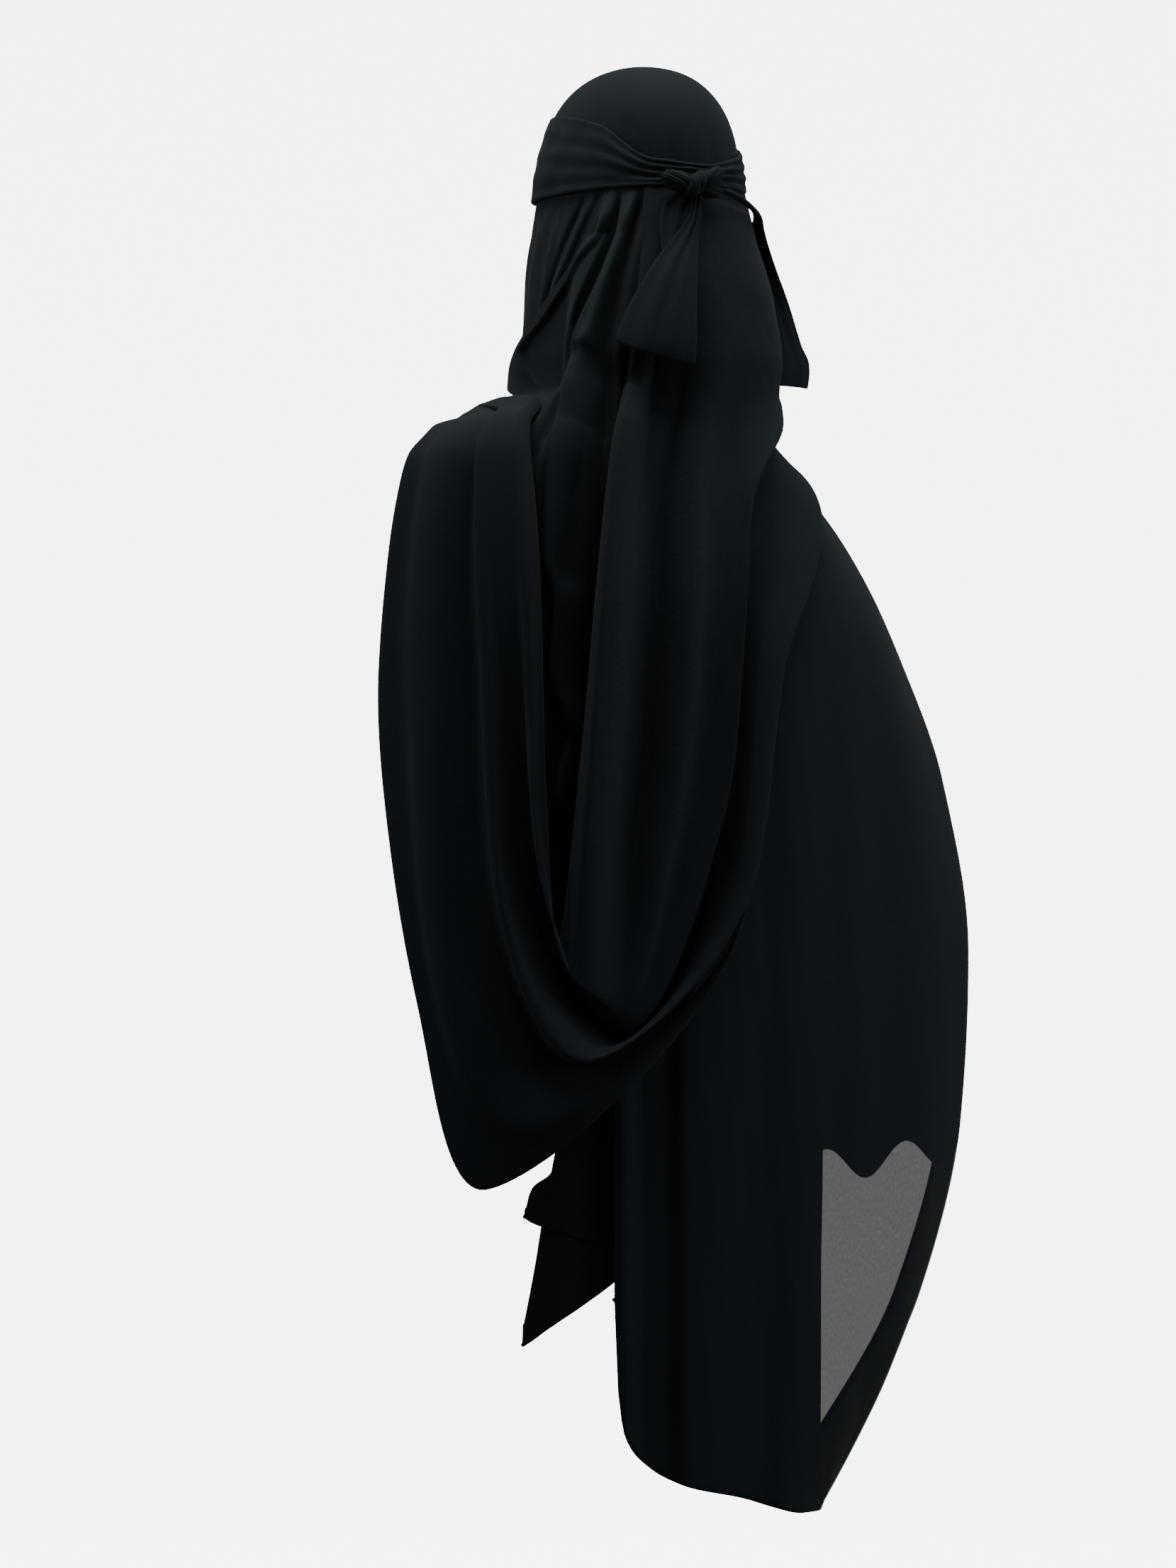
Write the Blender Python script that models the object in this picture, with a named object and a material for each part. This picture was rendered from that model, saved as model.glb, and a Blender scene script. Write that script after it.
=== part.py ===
"""Worn hijab in crepe: crown cover, tied band with knot and two tails, and draped falls.

The back fall has a swagged cowl. Side falls, a front wrap and a drape on the right arm go round it.

The origin is the inside of the crown, +Z is up, the wearer faces -Y and +X is the wearer's left.
A turn is measured round the upright axis in degrees: 0 is the middle of the back, +90 the wearer's left.
A level runs 0 to 1 from crown to band, 1 to 2 from band to shoulder
and 2 to 3 from shoulder to the lowest hem.
"""

import math

import bmesh
import bpy
from mathutils import Vector

# Head and body sizes that the cloth lies over
HEAD_HALF_WIDTH = 0.0758
HEAD_HALF_LENGTH = 0.0955
BAND_DROP = 0.105
SHOULDER_DROP = 0.300
DRAPE_DROP = 1.216
SHOULDER_HALF_WIDTH = 0.236
DRAPE_REACH = 0.310
BACK_DEPTH = 0.128
CHEST_DEPTH = 0.120

# Falls and openings
THROW_DROP = 0.921
COWL_LIFT = 0.030
BAND_WIDTH = 0.066
FACE_HALF_TURN = 36.0
KNOT_WIDTH = 0.054
KNOT_HEIGHT = 0.028
KNOT_DEPTH = 0.020
LEFT_TAIL_LENGTH = 0.148
RIGHT_TAIL_LENGTH = 0.165
TAIL_STAND = 0.010

# Cloth
CLOTH = 0.0012
LAYER_GAP = 0.0004
FOLD_DEPTH = 0.0045
CROWN_ROUND = 2.4
PLAN_ROUND = 2.2

PITCH_HEAD = CLOTH + LAYER_GAP
PITCH_BODY = CLOTH + 7.0 * LAYER_GAP

# How far each side stands out at a level: 0 is the head's own reach, 1 the body's
SECTIONS = (
    # level, left, right, back, front
    (1.000, 0.000, 0.000, 0.00, 0.00),
    (1.231, 0.060, 0.030, 0.42, 0.00),
    (1.487, 0.100, 0.062, 0.66, -0.14),
    (1.744, 0.125, 0.056, 0.66, -0.14),
    (1.923, 0.160, 0.050, 0.58, 0.00),
    (1.985, 0.250, 0.046, 0.56, 0.10),
    (2.015, 0.500, 0.060, 0.57, 0.30),
    (2.028, 0.740, 0.090, 0.60, 0.44),
    (2.044, 0.890, 0.150, 0.64, 0.58),
    (2.055, 0.945, 0.210, 0.67, 0.66),
    (2.082, 0.985, 0.330, 0.74, 0.80),
    (2.127, 1.020, 0.470, 0.84, 1.00),
    (2.217, 1.050, 0.680, 0.95, 1.00),
    (2.326, 1.060, 0.870, 1.04, 1.00),
    (2.489, 1.060, 1.000, 1.12, 1.00),
    (2.652, 1.060, 0.955, 1.18, 1.00),
    (2.815, 1.060, 0.750, 1.18, 1.00),
    (3.000, 1.060, 0.230, 1.18, 1.00),
)

# Where layers are set off upwards, as they lie on the shoulder
SHELF = (
    # level, degrees above level ground
    (1.0, 0.0),
    (1.6, 0.0),
    (1.92, 45.0),
    (2.0, 52.0),
    (2.02, 50.0),
    (2.04, 42.0),
    (2.09, 20.0),
    (2.16, 5.0),
    (2.25, 0.0),
    (3.0, 0.0),
)

# The back fall's folds, from its inner edge to its hem. Each runs from the left shoulder
# down to its low point and up to the band or the right shoulder.
FALL_ROWS = (
    # name, turns at the over, shoulder, flank, hip, low, rise, nape and end places,
    # level on the shoulder, low point as a share of the throw's drop, end level, fold height
    ("inner_edge", 104.0, 66.0, 56.5, 53.0, 49.0, 45.0, 36.5, 29.5, 2.004, 0.790, 1.02, -0.20),
    ("inner_ridge", 105.0, 67.5, 58.5, 54.5, 45.0, 40.4, 31.5, 26.5, 2.006, 0.822, 1.02, 0.30),
    ("soft_valley", 106.0, 68.2, 60.5, 56.5, 41.0, 29.0, 16.0, 12.0, 2.009, 0.838, 1.02, 0.02),
    ("back_ridge", 107.0, 69.0, 62.0, 58.5, 37.0, 17.0, -8.0, -12.0, 2.012, 0.852, 1.02, 0.30),
    ("side_crease", 107.0, 69.4, 63.0, 59.6, 36.0, 11.0, -30.0, -42.0, 2.014, 0.859, 1.02, 0.16),
    ("right_edge", 108.0, 69.6, 63.8, 60.5, 35.0, 8.0, -50.0, -74.0, 2.016, 0.864, 1.02, 0.34),
    ("cowl_valley", 108.0, 70.0, 64.5, 61.0, 36.0, 7.0, -12.0, -62.0, 2.018, 0.872, 1.97, -0.34),
    ("cowl_ridge", 109.0, 70.4, 65.8, 62.2, 40.0, 5.0, -23.0, -64.0, 2.020, 0.881, 1.99, 0.22),
    ("outer_ridge", 110.0, 71.0, 67.6, 64.0, 43.0, 2.5, -31.0, -66.0, 2.022, 0.890, 2.005, 0.42),
    ("turn_under", 111.0, 72.0, 70.2, 68.0, 46.0, 1.5, -31.0, -67.0, 2.024, 0.897, 2.008, -0.30),
    ("throw_ridge", 112.0, 76.0, 73.4, 70.4, 51.0, 5.0, -29.0, -67.0, 2.030, 0.925, 2.008, 0.26),
    ("throw_dip", 113.0, 80.0, 78.2, 71.8, 56.0, 10.0, -27.0, -67.0, 2.036, 0.962, 2.008, -0.12),
    ("hem", 114.0, 83.0, 82.2, 73.2, 62.0, 19.0, -25.0, -67.0, 2.042, 1.000, 2.008, 0.05),
)
OVER_LEVEL = 1.985

# How far the back fall stands off the layers below, along a fold
FALL_LIFT = (
    # place, share of the cowl's lift
    (0.00, 0.10),
    (0.12, 0.14),
    (0.28, 0.56),
    (0.42, 0.85),
    (0.55, 1.00),
    (0.70, 0.80),
    (0.86, 0.16),
    (1.00, 0.00),
)
FALL_PLACES = (0.00, 0.12, 0.26, 0.42, 0.56, 0.70, 0.88, 1.00)

# Upright folds of the side falls
LEFT_FOLDS = (
    # turn at band, turn at foot, half width, share of the fold depth, from level, to level
    (74.0, 82.0, 10.0, 0.27, 1.05, 1.60),
    (104.0, 108.0, 12.0, 0.44, 1.05, 1.60),
)
RIGHT_FOLDS = (
    (-96.0, -100.0, 9.0, 0.33, 1.05, 2.00),
    (-118.0, -124.0, 9.0, 0.33, 1.05, 2.00),
)
GATHER_FOLDS = (
    (47.0, 116.0, 6.0, 0.93, 1.10, 1.82),
    (43.0, 62.0, 7.0, 0.49, 1.10, 2.10),
    (40.0, 47.0, 4.5, 1.00, 1.20, 2.40),
)
DRAPE_FOLDS = (
    (36.0, 36.5, 3.5, 1.11, 2.40, 3.00),
    (14.0, 12.0, 14.0, 0.78, 2.10, 3.00),
    (-22.0, -20.0, 16.0, 0.89, 2.10, 3.00),
    (-58.0, -62.0, 16.0, 0.89, 2.10, 3.00),
)
PLAIN = ()

# Edges of each fall: the level of its top and its hem at a turn
LEFT_EDGES = (
    # turn, top, hem
    (44.0, 1.00, 1.74),
    (80.0, 1.00, 1.84),
    (118.0, 1.00, 1.92),
    (180.0 - FACE_HALF_TURN, 1.00, 1.88),
)
RIGHT_EDGES = (
    (FACE_HALF_TURN - 180.0, 1.00, 1.90),
    (-118.0, 1.00, 1.97),
    (-92.0, 1.00, 1.985),
    (-64.0, 1.00, 1.99),
)
GATHER_SIDES = (
    # level, turn near the middle of the back, turn of the leading edge
    (1.00, 24.0, 49.0),
    (1.20, 24.0, 52.0),
    (1.36, 24.0, 60.0),
    (1.56, 24.0, 80.0),
    (1.72, 24.0, 104.0),
    (1.86, 24.0, 120.0),
    (1.95, 24.0, 96.0),
    (2.03, 24.0, 68.0),
    (2.12, 24.0, 60.0),
    (2.36, 24.0, 56.0),
    (2.50, 24.0, 50.0),
)
FRONT_EDGES = (
    (104.0, 1.925, 2.03),
    (120.0, 1.80, 2.06),
    (134.0, 1.64, 2.16),
    (152.0, 1.60, 2.27),
    (180.0, 1.685, 2.33),
    (208.0, 1.60, 2.31),
    (232.0, 1.66, 2.27),
    (256.0, 1.965, 2.22),
)
INNER_DRAPE_EDGES = (
    (-32.0, 2.26, 2.975),
    (-10.0, 2.26, 2.962),
    (12.0, 2.26, 2.945),
    (32.0, 2.26, 2.900),
)
ARM_EDGES = (
    (208.0, 2.030, 2.640),
    (225.0, 2.022, 2.664),
    (244.0, 2.016, 2.650),
    (258.0, 2.010, 2.668),
    (280.0, 2.004, 2.640),
)
DRAPE_EDGES = (
    (-88.0, 2.004, 2.990),
    (-60.0, 2.004, 2.995),
    (-27.0, 2.012, 2.985),
    (-2.0, 2.10, 2.962),
    (22.5, 2.28, 2.940),
    (32.0, 2.40, 2.915),
    (40.0, 2.46, 2.860),
)
UPPER_RUFFLE = (
    (24.0, 2.57, 2.726),
    (38.0, 2.57, 2.716),
    (47.0, 2.57, 2.706),
    (53.0, 2.57, 2.696),
    (56.0, 2.57, 2.664),
)
LOWER_RUFFLE = (
    (24.0, 2.62, 2.722),
    (33.0, 2.62, 2.732),
    (41.0, 2.62, 2.748),
    (48.0, 2.62, 2.770),
    (56.0, 2.62, 2.790),
)
BAND_EDGES = (
    # turn, top and foot as shares of the band's width above and below its seat
    (-180.0, 1.04, 0.06),
    (-125.0, 0.94, 0.00),
    (-55.0, 0.56, 0.00),
    (-22.0, 0.30, -0.06),
    (2.0, 0.16, -0.06),
    (25.0, 0.20, -0.10),
    (55.0, 0.66, -0.10),
    (90.0, 0.86, -0.08),
    (125.0, 0.96, -0.05),
    (180.0, 1.04, 0.06),
)
LEFT_TAIL = (
    # share of the length, left turn, right turn, share of the stand-off at the left, at the right
    (0.00, 13.0, 5.0, 0.85, 0.85),
    (0.16, 20.5, 7.5, 0.40, 0.40),
    (0.40, 24.0, 12.0, 0.30, 0.30),
    (0.60, 26.5, 13.5, 0.40, 0.40),
    (0.80, 32.0, 14.5, 0.50, 0.50),
    (1.00, 36.5, 15.5, 0.60, 0.60),
)
RIGHT_TAIL = (
    (0.00, -2.5, -9.5, 0.90, 0.80),
    (0.06, -22.0, -26.0, 0.98, 0.96),
    (0.14, -48.0, -44.0, 0.76, 0.80),
    (0.37, -68.0, -56.0, 0.35, 1.20),
    (0.57, -73.0, -60.0, 0.30, 2.15),
    (0.75, -76.0, -62.0, 0.30, 3.30),
    (1.00, -78.0, -64.0, 0.30, 3.70),
)


def clamp(value, low=0.0, high=1.0):
    return max(low, min(high, value))


def ease(value):
    value = clamp(value)
    return value * value * (3.0 - 2.0 * value)


def curve(knots, values, at):
    """A smooth curve through the values that never overshoots between two of them."""
    if at <= knots[0]:
        return values[0]
    if at >= knots[-1]:
        return values[-1]
    steps = [b - a for a, b in zip(knots, knots[1:])]
    slopes = [(b - a) / step for a, b, step in zip(values, values[1:], steps)]
    place = max(i for i, knot in enumerate(knots[:-1]) if knot <= at)

    def tangent(i):
        if i == 0:
            return slopes[0]
        if i == len(knots) - 1:
            return slopes[-1]
        before, after = slopes[i - 1], slopes[i]
        if before * after <= 0.0:
            return 0.0
        one = 2.0 * steps[i] + steps[i - 1]
        two = steps[i] + 2.0 * steps[i - 1]
        return (one + two) / (one / before + two / after)

    span = steps[place]
    u = (at - knots[place]) / span
    start = (1.0 + 2.0 * u) * (1.0 - u) ** 2 * values[place]
    end = u * u * (3.0 - 2.0 * u) * values[place + 1]
    lean = u * (1.0 - u) ** 2 * span * tangent(place)
    lean -= u * u * (1.0 - u) * span * tangent(place + 1)
    return start + end + lean


def column(table, index, at):
    return curve([row[0] for row in table], [row[index] for row in table], at)


def drop_of(level):
    """Metres below the crown at a level."""
    marks = (0.0, BAND_DROP, SHOULDER_DROP, DRAPE_DROP)
    stage = min(2, max(0, int(level)))
    return marks[stage] + (level - stage) * (marks[stage + 1] - marks[stage])


def level_of(drop):
    if drop <= BAND_DROP:
        return drop / BAND_DROP
    if drop <= SHOULDER_DROP:
        return 1.0 + (drop - BAND_DROP) / (SHOULDER_DROP - BAND_DROP)
    return 2.0 + (drop - SHOULDER_DROP) / (DRAPE_DROP - SHOULDER_DROP)


def reach(turn, level):
    """Distance from the upright axis to the inside of the innermost layer."""
    side, back = math.sin(math.radians(turn)), math.cos(math.radians(turn))
    width, length = HEAD_HALF_WIDTH, HEAD_HALF_LENGTH
    if level > 1.0:
        body_width = SHOULDER_HALF_WIDTH if side > 0.0 else DRAPE_REACH
        body_depth = BACK_DEPTH if back > 0.0 else CHEST_DEPTH
        width += (body_width - width) * column(SECTIONS, 1 if side > 0.0 else 2, level)
        length += (body_depth - length) * column(SECTIONS, 3 if back > 0.0 else 4, level)
    round_top = (1.0 - (1.0 - clamp(level)) ** CROWN_ROUND) ** (1.0 / CROWN_ROUND)
    sum_of = (abs(side) / width) ** PLAN_ROUND + (abs(back) / length) ** PLAN_ROUND
    return round_top / sum_of ** (1.0 / PLAN_ROUND)


def pitch(level):
    return PITCH_HEAD + (PITCH_BODY - PITCH_HEAD) * ease((level - 1.2) / 0.6)


def spot(turn, level, layer, extra=0.0):
    """The middle of a layer of cloth at a turn and a level, set off by its layer and an extra stand-off."""
    off = CLOTH / 2.0 + layer * pitch(level) + extra
    lift = math.radians(column(SHELF, 1, level)) * abs(math.sin(math.radians(turn))) ** 0.7
    if level < 1.0:
        lift = math.radians(90.0) * (1.0 - level) ** 1.6
    out = reach(turn, level) + off * math.cos(lift)
    drop = drop_of(level) - off * math.sin(lift)
    angle = math.radians(turn)
    return Vector((out * math.sin(angle), out * math.cos(angle), -drop))


def relief(folds, turn, level):
    """Height of the upright folds at a point. The tallest fold there counts."""
    height = 0.0
    for top_turn, foot_turn, half_width, share, start, stop in folds:
        run = clamp((level - start) / (stop - start))
        middle = top_turn + (foot_turn - top_turn) * run
        near = abs(turn - middle) / half_width
        if near < 1.0:
            fade = share * ease((level - start) / 0.25)
            height = max(height, FOLD_DEPTH * fade * math.cos(near * math.pi / 2.0) ** 2)
    return height


def shell(name, grid, colour, closed=False):
    """A wall of cloth about a grid of middle points, closed all round its rim."""
    rows, across = len(grid), len(grid[0])
    normals = []
    for i in range(rows):
        line = []
        for j in range(across):
            before = grid[i][j - 1] if closed or j > 0 else grid[i][j]
            after = grid[i][(j + 1) % across] if closed or j < across - 1 else grid[i][j]
            above = grid[max(0, i - 1)][j]
            below = grid[min(rows - 1, i + 1)][j]
            line.append((after - before).cross(below - above).normalized())
        normals.append(line)
    mesh = bmesh.new()
    walls = []
    for half in (CLOTH / 2.0, -CLOTH / 2.0):
        wall = []
        for points, lean in zip(grid, normals):
            wall.append([mesh.verts.new(at + normal * half) for at, normal in zip(points, lean)])
        walls.append(wall)
    front, back = walls
    spans = across if closed else across - 1
    for i in range(rows - 1):
        for j in range(spans):
            k = (j + 1) % across
            mesh.faces.new((front[i][j], front[i][k], front[i + 1][k], front[i + 1][j]))
            mesh.faces.new((back[i][j], back[i + 1][j], back[i + 1][k], back[i][k]))
    for i in (0, rows - 1):
        for j in range(spans):
            k = (j + 1) % across
            mesh.faces.new((front[i][j], back[i][j], back[i][k], front[i][k]))
    if not closed:
        for j in (0, across - 1):
            for i in range(rows - 1):
                mesh.faces.new((front[i][j], front[i + 1][j], back[i + 1][j], back[i][j]))
    place(name, mesh, colour)


def place(name, mesh, colour):
    """Makes a node of a closed mesh, with its faces outward and a cloth material of its own."""
    bmesh.ops.recalc_face_normals(mesh, faces=mesh.faces)
    if mesh.calc_volume(signed=True) < 0.0:
        bmesh.ops.reverse_faces(mesh, faces=mesh.faces)
    bmesh.ops.triangulate(mesh, faces=mesh.faces)
    data = bpy.data.meshes.new(name)
    mesh.to_mesh(data)
    mesh.free()
    material = bpy.data.materials.new(name + "_cloth")
    material.use_nodes = True
    shader = material.node_tree.nodes["Principled BSDF"]
    shader.inputs["Base Color"].default_value = (*colour, 1.0)
    shader.inputs["Roughness"].default_value = 0.85
    data.materials.append(material)
    thing = bpy.data.objects.new(name, data)
    bpy.context.scene.collection.objects.link(thing)


def spread(low, high, count):
    return [low + (high - low) * i / (count - 1) for i in range(count)]


def crowded(level):
    """Grows faster where the cloth bends over the shoulder, to set rows closer there."""
    return level + 0.30 * math.erf((level - 2.035) / 0.07)


def rows_between(top, hem, count):
    levels = []
    for goal in spread(crowded(top), crowded(hem), count):
        low, high = top, hem
        for _ in range(30):
            middle = (low + high) / 2.0
            if crowded(middle) < goal:
                low = middle
            else:
                high = middle
        levels.append((low + high) / 2.0)
    return levels


def drape_layer(turn, level):
    """The right drape lies close on top of the shoulder and clear of the layers below it elsewhere."""
    return 4.0 - 2.6 * (1.0 - ease((level - 2.06) / 0.14)) * ease((turn + 82.0) / 20.0)


def side_layer(turn, level):
    """The right side fall is caught under the band and lies closer to the head below it."""
    return 0.86 - 0.86 * ease((level - 1.05) / 0.3)


def front_layer(turn, level):
    """The front wrap closes on the side falls beside the chin."""
    beside = ease(1.0 - abs(abs(turn - 180.0) - 46.0) / 20.0)
    return 1.0 - 0.52 * beside * ease((1.88 - level) / 0.06)


def arm_layer(turn, level):
    """The arm wrap meets the front wrap at one side and the right drape at the other."""
    inside = 1.45 * ease((244.0 - turn) / 20.0) * ease((level - 2.10) / 0.08)
    return 3.0 - inside + 0.24 * ease((turn - 262.0) / 10.0)


def panel(name, edges, folds, layer, down, across, colour):
    """A hanging fall between two turns, whose top and hem follow a table of edges."""
    turns = spread(edges[0][0], edges[-1][0], across)
    lines = [rows_between(column(edges, 1, turn), column(edges, 2, turn), down) for turn in turns]
    grid = []
    for i in range(down):
        line = []
        for turn, levels in zip(turns, lines):
            at = layer(turn, levels[i]) if callable(layer) else layer
            line.append(spot(turn, levels[i], at, relief(folds, turn, levels[i])))
        grid.append(line)
    shell(name, grid, colour)


def make_crown():
    """The smooth cover of the head, open below."""
    around, down = 40, 7
    levels = [1.0 - math.cos(math.radians(slope)) for slope in spread(8.0, 88.0, down)]
    grid = [[spot(360.0 * j / around, level * 0.985, 0) for j in range(around)] for level in levels]
    mesh = bmesh.new()
    rings = []
    for side in (1.0, -1.0):
        shape = []
        for i, line in enumerate(grid):
            ring = []
            for j, point in enumerate(line):
                before, after = line[j - 1], line[(j + 1) % around]
                above = grid[max(0, i - 1)][j]
                below = grid[min(down - 1, i + 1)][j]
                normal = (after - before).cross(below - above).normalized()
                if normal.dot(Vector((point.x, point.y, point.z + BAND_DROP))) < 0.0:
                    normal = -normal
                ring.append(mesh.verts.new(point + normal * (CLOTH / 2.0 * side)))
            shape.append(ring)
        rings.append(shape)
        cap = mesh.verts.new(Vector((0.0, 0.0, CLOTH if side > 0.0 else 0.0)))
        for j in range(around):
            mesh.faces.new((cap, shape[0][j], shape[0][(j + 1) % around]))
        for i in range(down - 1):
            for j in range(around):
                k = (j + 1) % around
                mesh.faces.new((shape[i][j], shape[i + 1][j], shape[i + 1][k], shape[i][k]))
    outer, inner = rings[0][-1], rings[1][-1]
    for j in range(around):
        k = (j + 1) % around
        mesh.faces.new((outer[j], inner[j], inner[k], outer[k]))
    place("crown_cover", mesh, (0.012, 0.013, 0.016))


def make_band():
    """The wide tie round the head. It narrows towards the knot at the back."""
    around, down = 40, 5
    seat = BAND_DROP
    turns = [-180.0 + 360.0 * j / around for j in range(around)]
    grid = []
    for share in spread(0.0, 1.0, down):
        line = []
        for turn in turns:
            top = seat - column(BAND_EDGES, 1, turn) * BAND_WIDTH
            foot = seat - column(BAND_EDGES, 2, turn) * BAND_WIDTH
            level = level_of(top + (foot - top) * share)
            line.append(spot(turn, level, 1.25 + 1.95 * ease((level - 0.55) / 0.4)))
        grid.append(line)
    shell("tie_band", grid, (0.014, 0.015, 0.018), closed=True)


def fall_point(row, along):
    """The turn and level of a point along one fold of the back fall."""
    turns, (top, share, end_level) = row[1:9], row[9:12]
    low_drop = share * THROW_DROP
    top_drop, end_drop = drop_of(top), drop_of(end_level)
    drops = (
        drop_of(OVER_LEVEL),
        top_drop,
        top_drop + 0.30 * (low_drop - top_drop),
        top_drop + 0.75 * (low_drop - top_drop),
        low_drop,
        low_drop + 0.25 * (end_drop - low_drop),
        low_drop + 0.75 * (end_drop - low_drop),
        end_drop,
    )
    return curve(FALL_PLACES, turns, along), level_of(curve(FALL_PLACES, drops, along))


def fall_layer(turn, level):
    """The back fall crosses few layers on the left shoulder and more where the drape lies below it."""
    low = 0.6 + 0.7 * ease((turn + 5.0) / 25.0)
    low += 2.3 * ease((level - 2.04) / 0.16) * ease((62.0 - turn) / 20.0)
    return 2.0 + low * ease((level - 1.05) / 0.6)


def make_back_fall():
    """The back fall, its swagged cowl and the end thrown over the left shoulder, as one cloth."""
    across, along = 33, 28
    rows = len(FALL_ROWS) - 1
    even, closer_at_ends = (0.0, 0.18, 0.5, 0.82, 1.0), (0.0, 0.13, 0.5, 0.87, 1.0)
    places = [curve(even, closer_at_ends, share) for share in spread(0.0, 1.0, along)]
    grid = []
    for step in spread(0.0, rows, across):
        line = []
        for place_along in places:
            ends = [fall_point(row, place_along) for row in FALL_ROWS]
            turn = curve(range(rows + 1), [end[0] for end in ends], step)
            level = curve(range(rows + 1), [end[1] for end in ends], step)
            fold = curve(range(rows + 1), [row[-1] for row in FALL_ROWS], step)
            lift = column(FALL_LIFT, 1, place_along) * COWL_LIFT
            lift += fold * COWL_LIFT * ease(place_along / 0.25) * ease((1.0 - place_along) / 0.4)
            line.append(spot(turn, level, fall_layer(turn, level), max(0.0, lift)))
        grid.append(line)
    shell("back_fall", grid, (0.013, 0.014, 0.016))


def make_knot():
    """The knot of the tie at the middle of the back."""
    middle_turn = 3.0
    band = spot(middle_turn, 1.0, 3.2)
    angle = math.radians(middle_turn)
    out = Vector((math.sin(angle), math.cos(angle), 0.0))
    side = Vector((-math.cos(angle), math.sin(angle), 0.0))
    centre = band + out * (CLOTH / 2.0 + 2.0 * LAYER_GAP + KNOT_DEPTH / 2.0)
    mesh = bmesh.new()
    made = bmesh.ops.create_uvsphere(mesh, u_segments=18, v_segments=10, radius=1.0)
    for vertex in made["verts"]:
        x, y, z = vertex.co
        groove = 1.0 - 0.07 * math.cos(5.0 * (z + 0.6 * x)) ** 2
        waist = 1.0 - 0.22 * math.exp(-((x - 0.15) / 0.28) ** 2)
        tilt = 0.18 * KNOT_HEIGHT * x
        across = side * (x * KNOT_WIDTH / 2.0 * groove)
        upright = Vector((0.0, 0.0, z * KNOT_HEIGHT / 2.0 * groove * waist + tilt))
        vertex.co = centre + across + upright + out * (y * KNOT_DEPTH / 2.0 * groove)
    place("knot", mesh, (0.014, 0.015, 0.018))


def make_gather():
    """The gathered cloth left of the middle. Its leading edge sweeps round the neck to the front."""
    down, across = 24, 14
    grid = []
    for level in rows_between(GATHER_SIDES[0][0], GATHER_SIDES[-1][0], down):
        layer = 1.0 + ease((level - 1.05) / 0.4)
        turns = spread(column(GATHER_SIDES, 1, level), column(GATHER_SIDES, 2, level), across)
        grid.append([spot(turn, level, layer, relief(GATHER_FOLDS, turn, level)) for turn in turns])
    shell("gathered_fall", grid, (0.012, 0.013, 0.015))


def make_tail(name, table, start_drop, length):
    """A loose end of the tie, hanging from the knot over the back fall."""
    down, across = 10, 6
    grid = []
    for share in spread(0.0, 1.0, down):
        line = []
        left, right = column(table, 1, share), column(table, 2, share)
        left_stand, right_stand = column(table, 3, share), column(table, 4, share)
        for step in spread(0.0, 1.0, across):
            turn = left + (right - left) * step
            level = level_of(start_drop + share * length)
            layer = 1.2 + fall_layer(turn, level)
            under = COWL_LIFT * 0.30 * ease((level - 1.1) / 0.7)
            stand = left_stand + (right_stand - left_stand) * step
            bow = 0.4 * math.sin(math.pi * step) * share
            line.append(spot(turn, level, layer, under + (stand + bow) * TAIL_STAND))
        grid.append(line)
    shell(name, grid, (0.014, 0.015, 0.018))


def clear_scene():
    for thing in list(bpy.data.objects):
        bpy.data.objects.remove(thing, do_unlink=True)


def main():
    clear_scene()
    dark = (0.012, 0.013, 0.015)
    make_crown()
    make_band()
    make_knot()
    make_tail("tail_left", LEFT_TAIL, BAND_DROP + KNOT_HEIGHT * 0.515, LEFT_TAIL_LENGTH)
    make_tail("tail_right", RIGHT_TAIL, BAND_DROP + KNOT_HEIGHT * 0.35, RIGHT_TAIL_LENGTH)
    make_back_fall()
    make_gather()
    panel("left_side_fall", LEFT_EDGES, LEFT_FOLDS, 0, 8, 14, dark)
    panel("right_side_fall", RIGHT_EDGES, RIGHT_FOLDS, side_layer, 9, 11, dark)
    panel("front_wrap", FRONT_EDGES, PLAIN, front_layer, 10, 20, dark)
    panel("inner_drape", INNER_DRAPE_EDGES, PLAIN, 3.4, 11, 9, dark)
    panel("arm_wrap", ARM_EDGES, PLAIN, arm_layer, 12, 10, dark)
    panel("right_drape", DRAPE_EDGES, DRAPE_FOLDS, drape_layer, 17, 17, dark)
    panel("waterfall_upper", UPPER_RUFFLE, PLAIN, 2.92, 6, 9, dark)
    panel("waterfall_lower", LOWER_RUFFLE, PLAIN, 2.42, 7, 9, dark)


main()
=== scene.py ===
"""Looks of a worn hijab in black crepe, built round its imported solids.

A turn is measured round the upright axis in degrees: 0 is the middle of the back, +90 the wearer's left.
A level runs 0 to 1 from crown to band, 1 to 2 from band to shoulder and 2 to 3 from shoulder to the lowest hem.
"""

import math

import bmesh
import bpy
import numpy as np
from bpy.props import FloatProperty, FloatVectorProperty, PointerProperty
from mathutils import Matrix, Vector


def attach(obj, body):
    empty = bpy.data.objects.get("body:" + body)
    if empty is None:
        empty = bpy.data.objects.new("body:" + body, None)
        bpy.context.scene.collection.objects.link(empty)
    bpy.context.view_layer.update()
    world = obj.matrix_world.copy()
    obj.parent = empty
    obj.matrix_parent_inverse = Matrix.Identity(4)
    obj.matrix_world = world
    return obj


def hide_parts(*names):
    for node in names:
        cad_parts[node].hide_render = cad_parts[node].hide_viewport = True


bl_info = {
    "name": "Worn crepe hijab",
    "version": (1, 0, 0),
    "blender": (4, 5, 0),
    "location": "View3D > Sidebar > Hijab",
    "description": "Models a tied and draped hijab in crepe round its fixed solids",
    "category": "Object",
}

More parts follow.
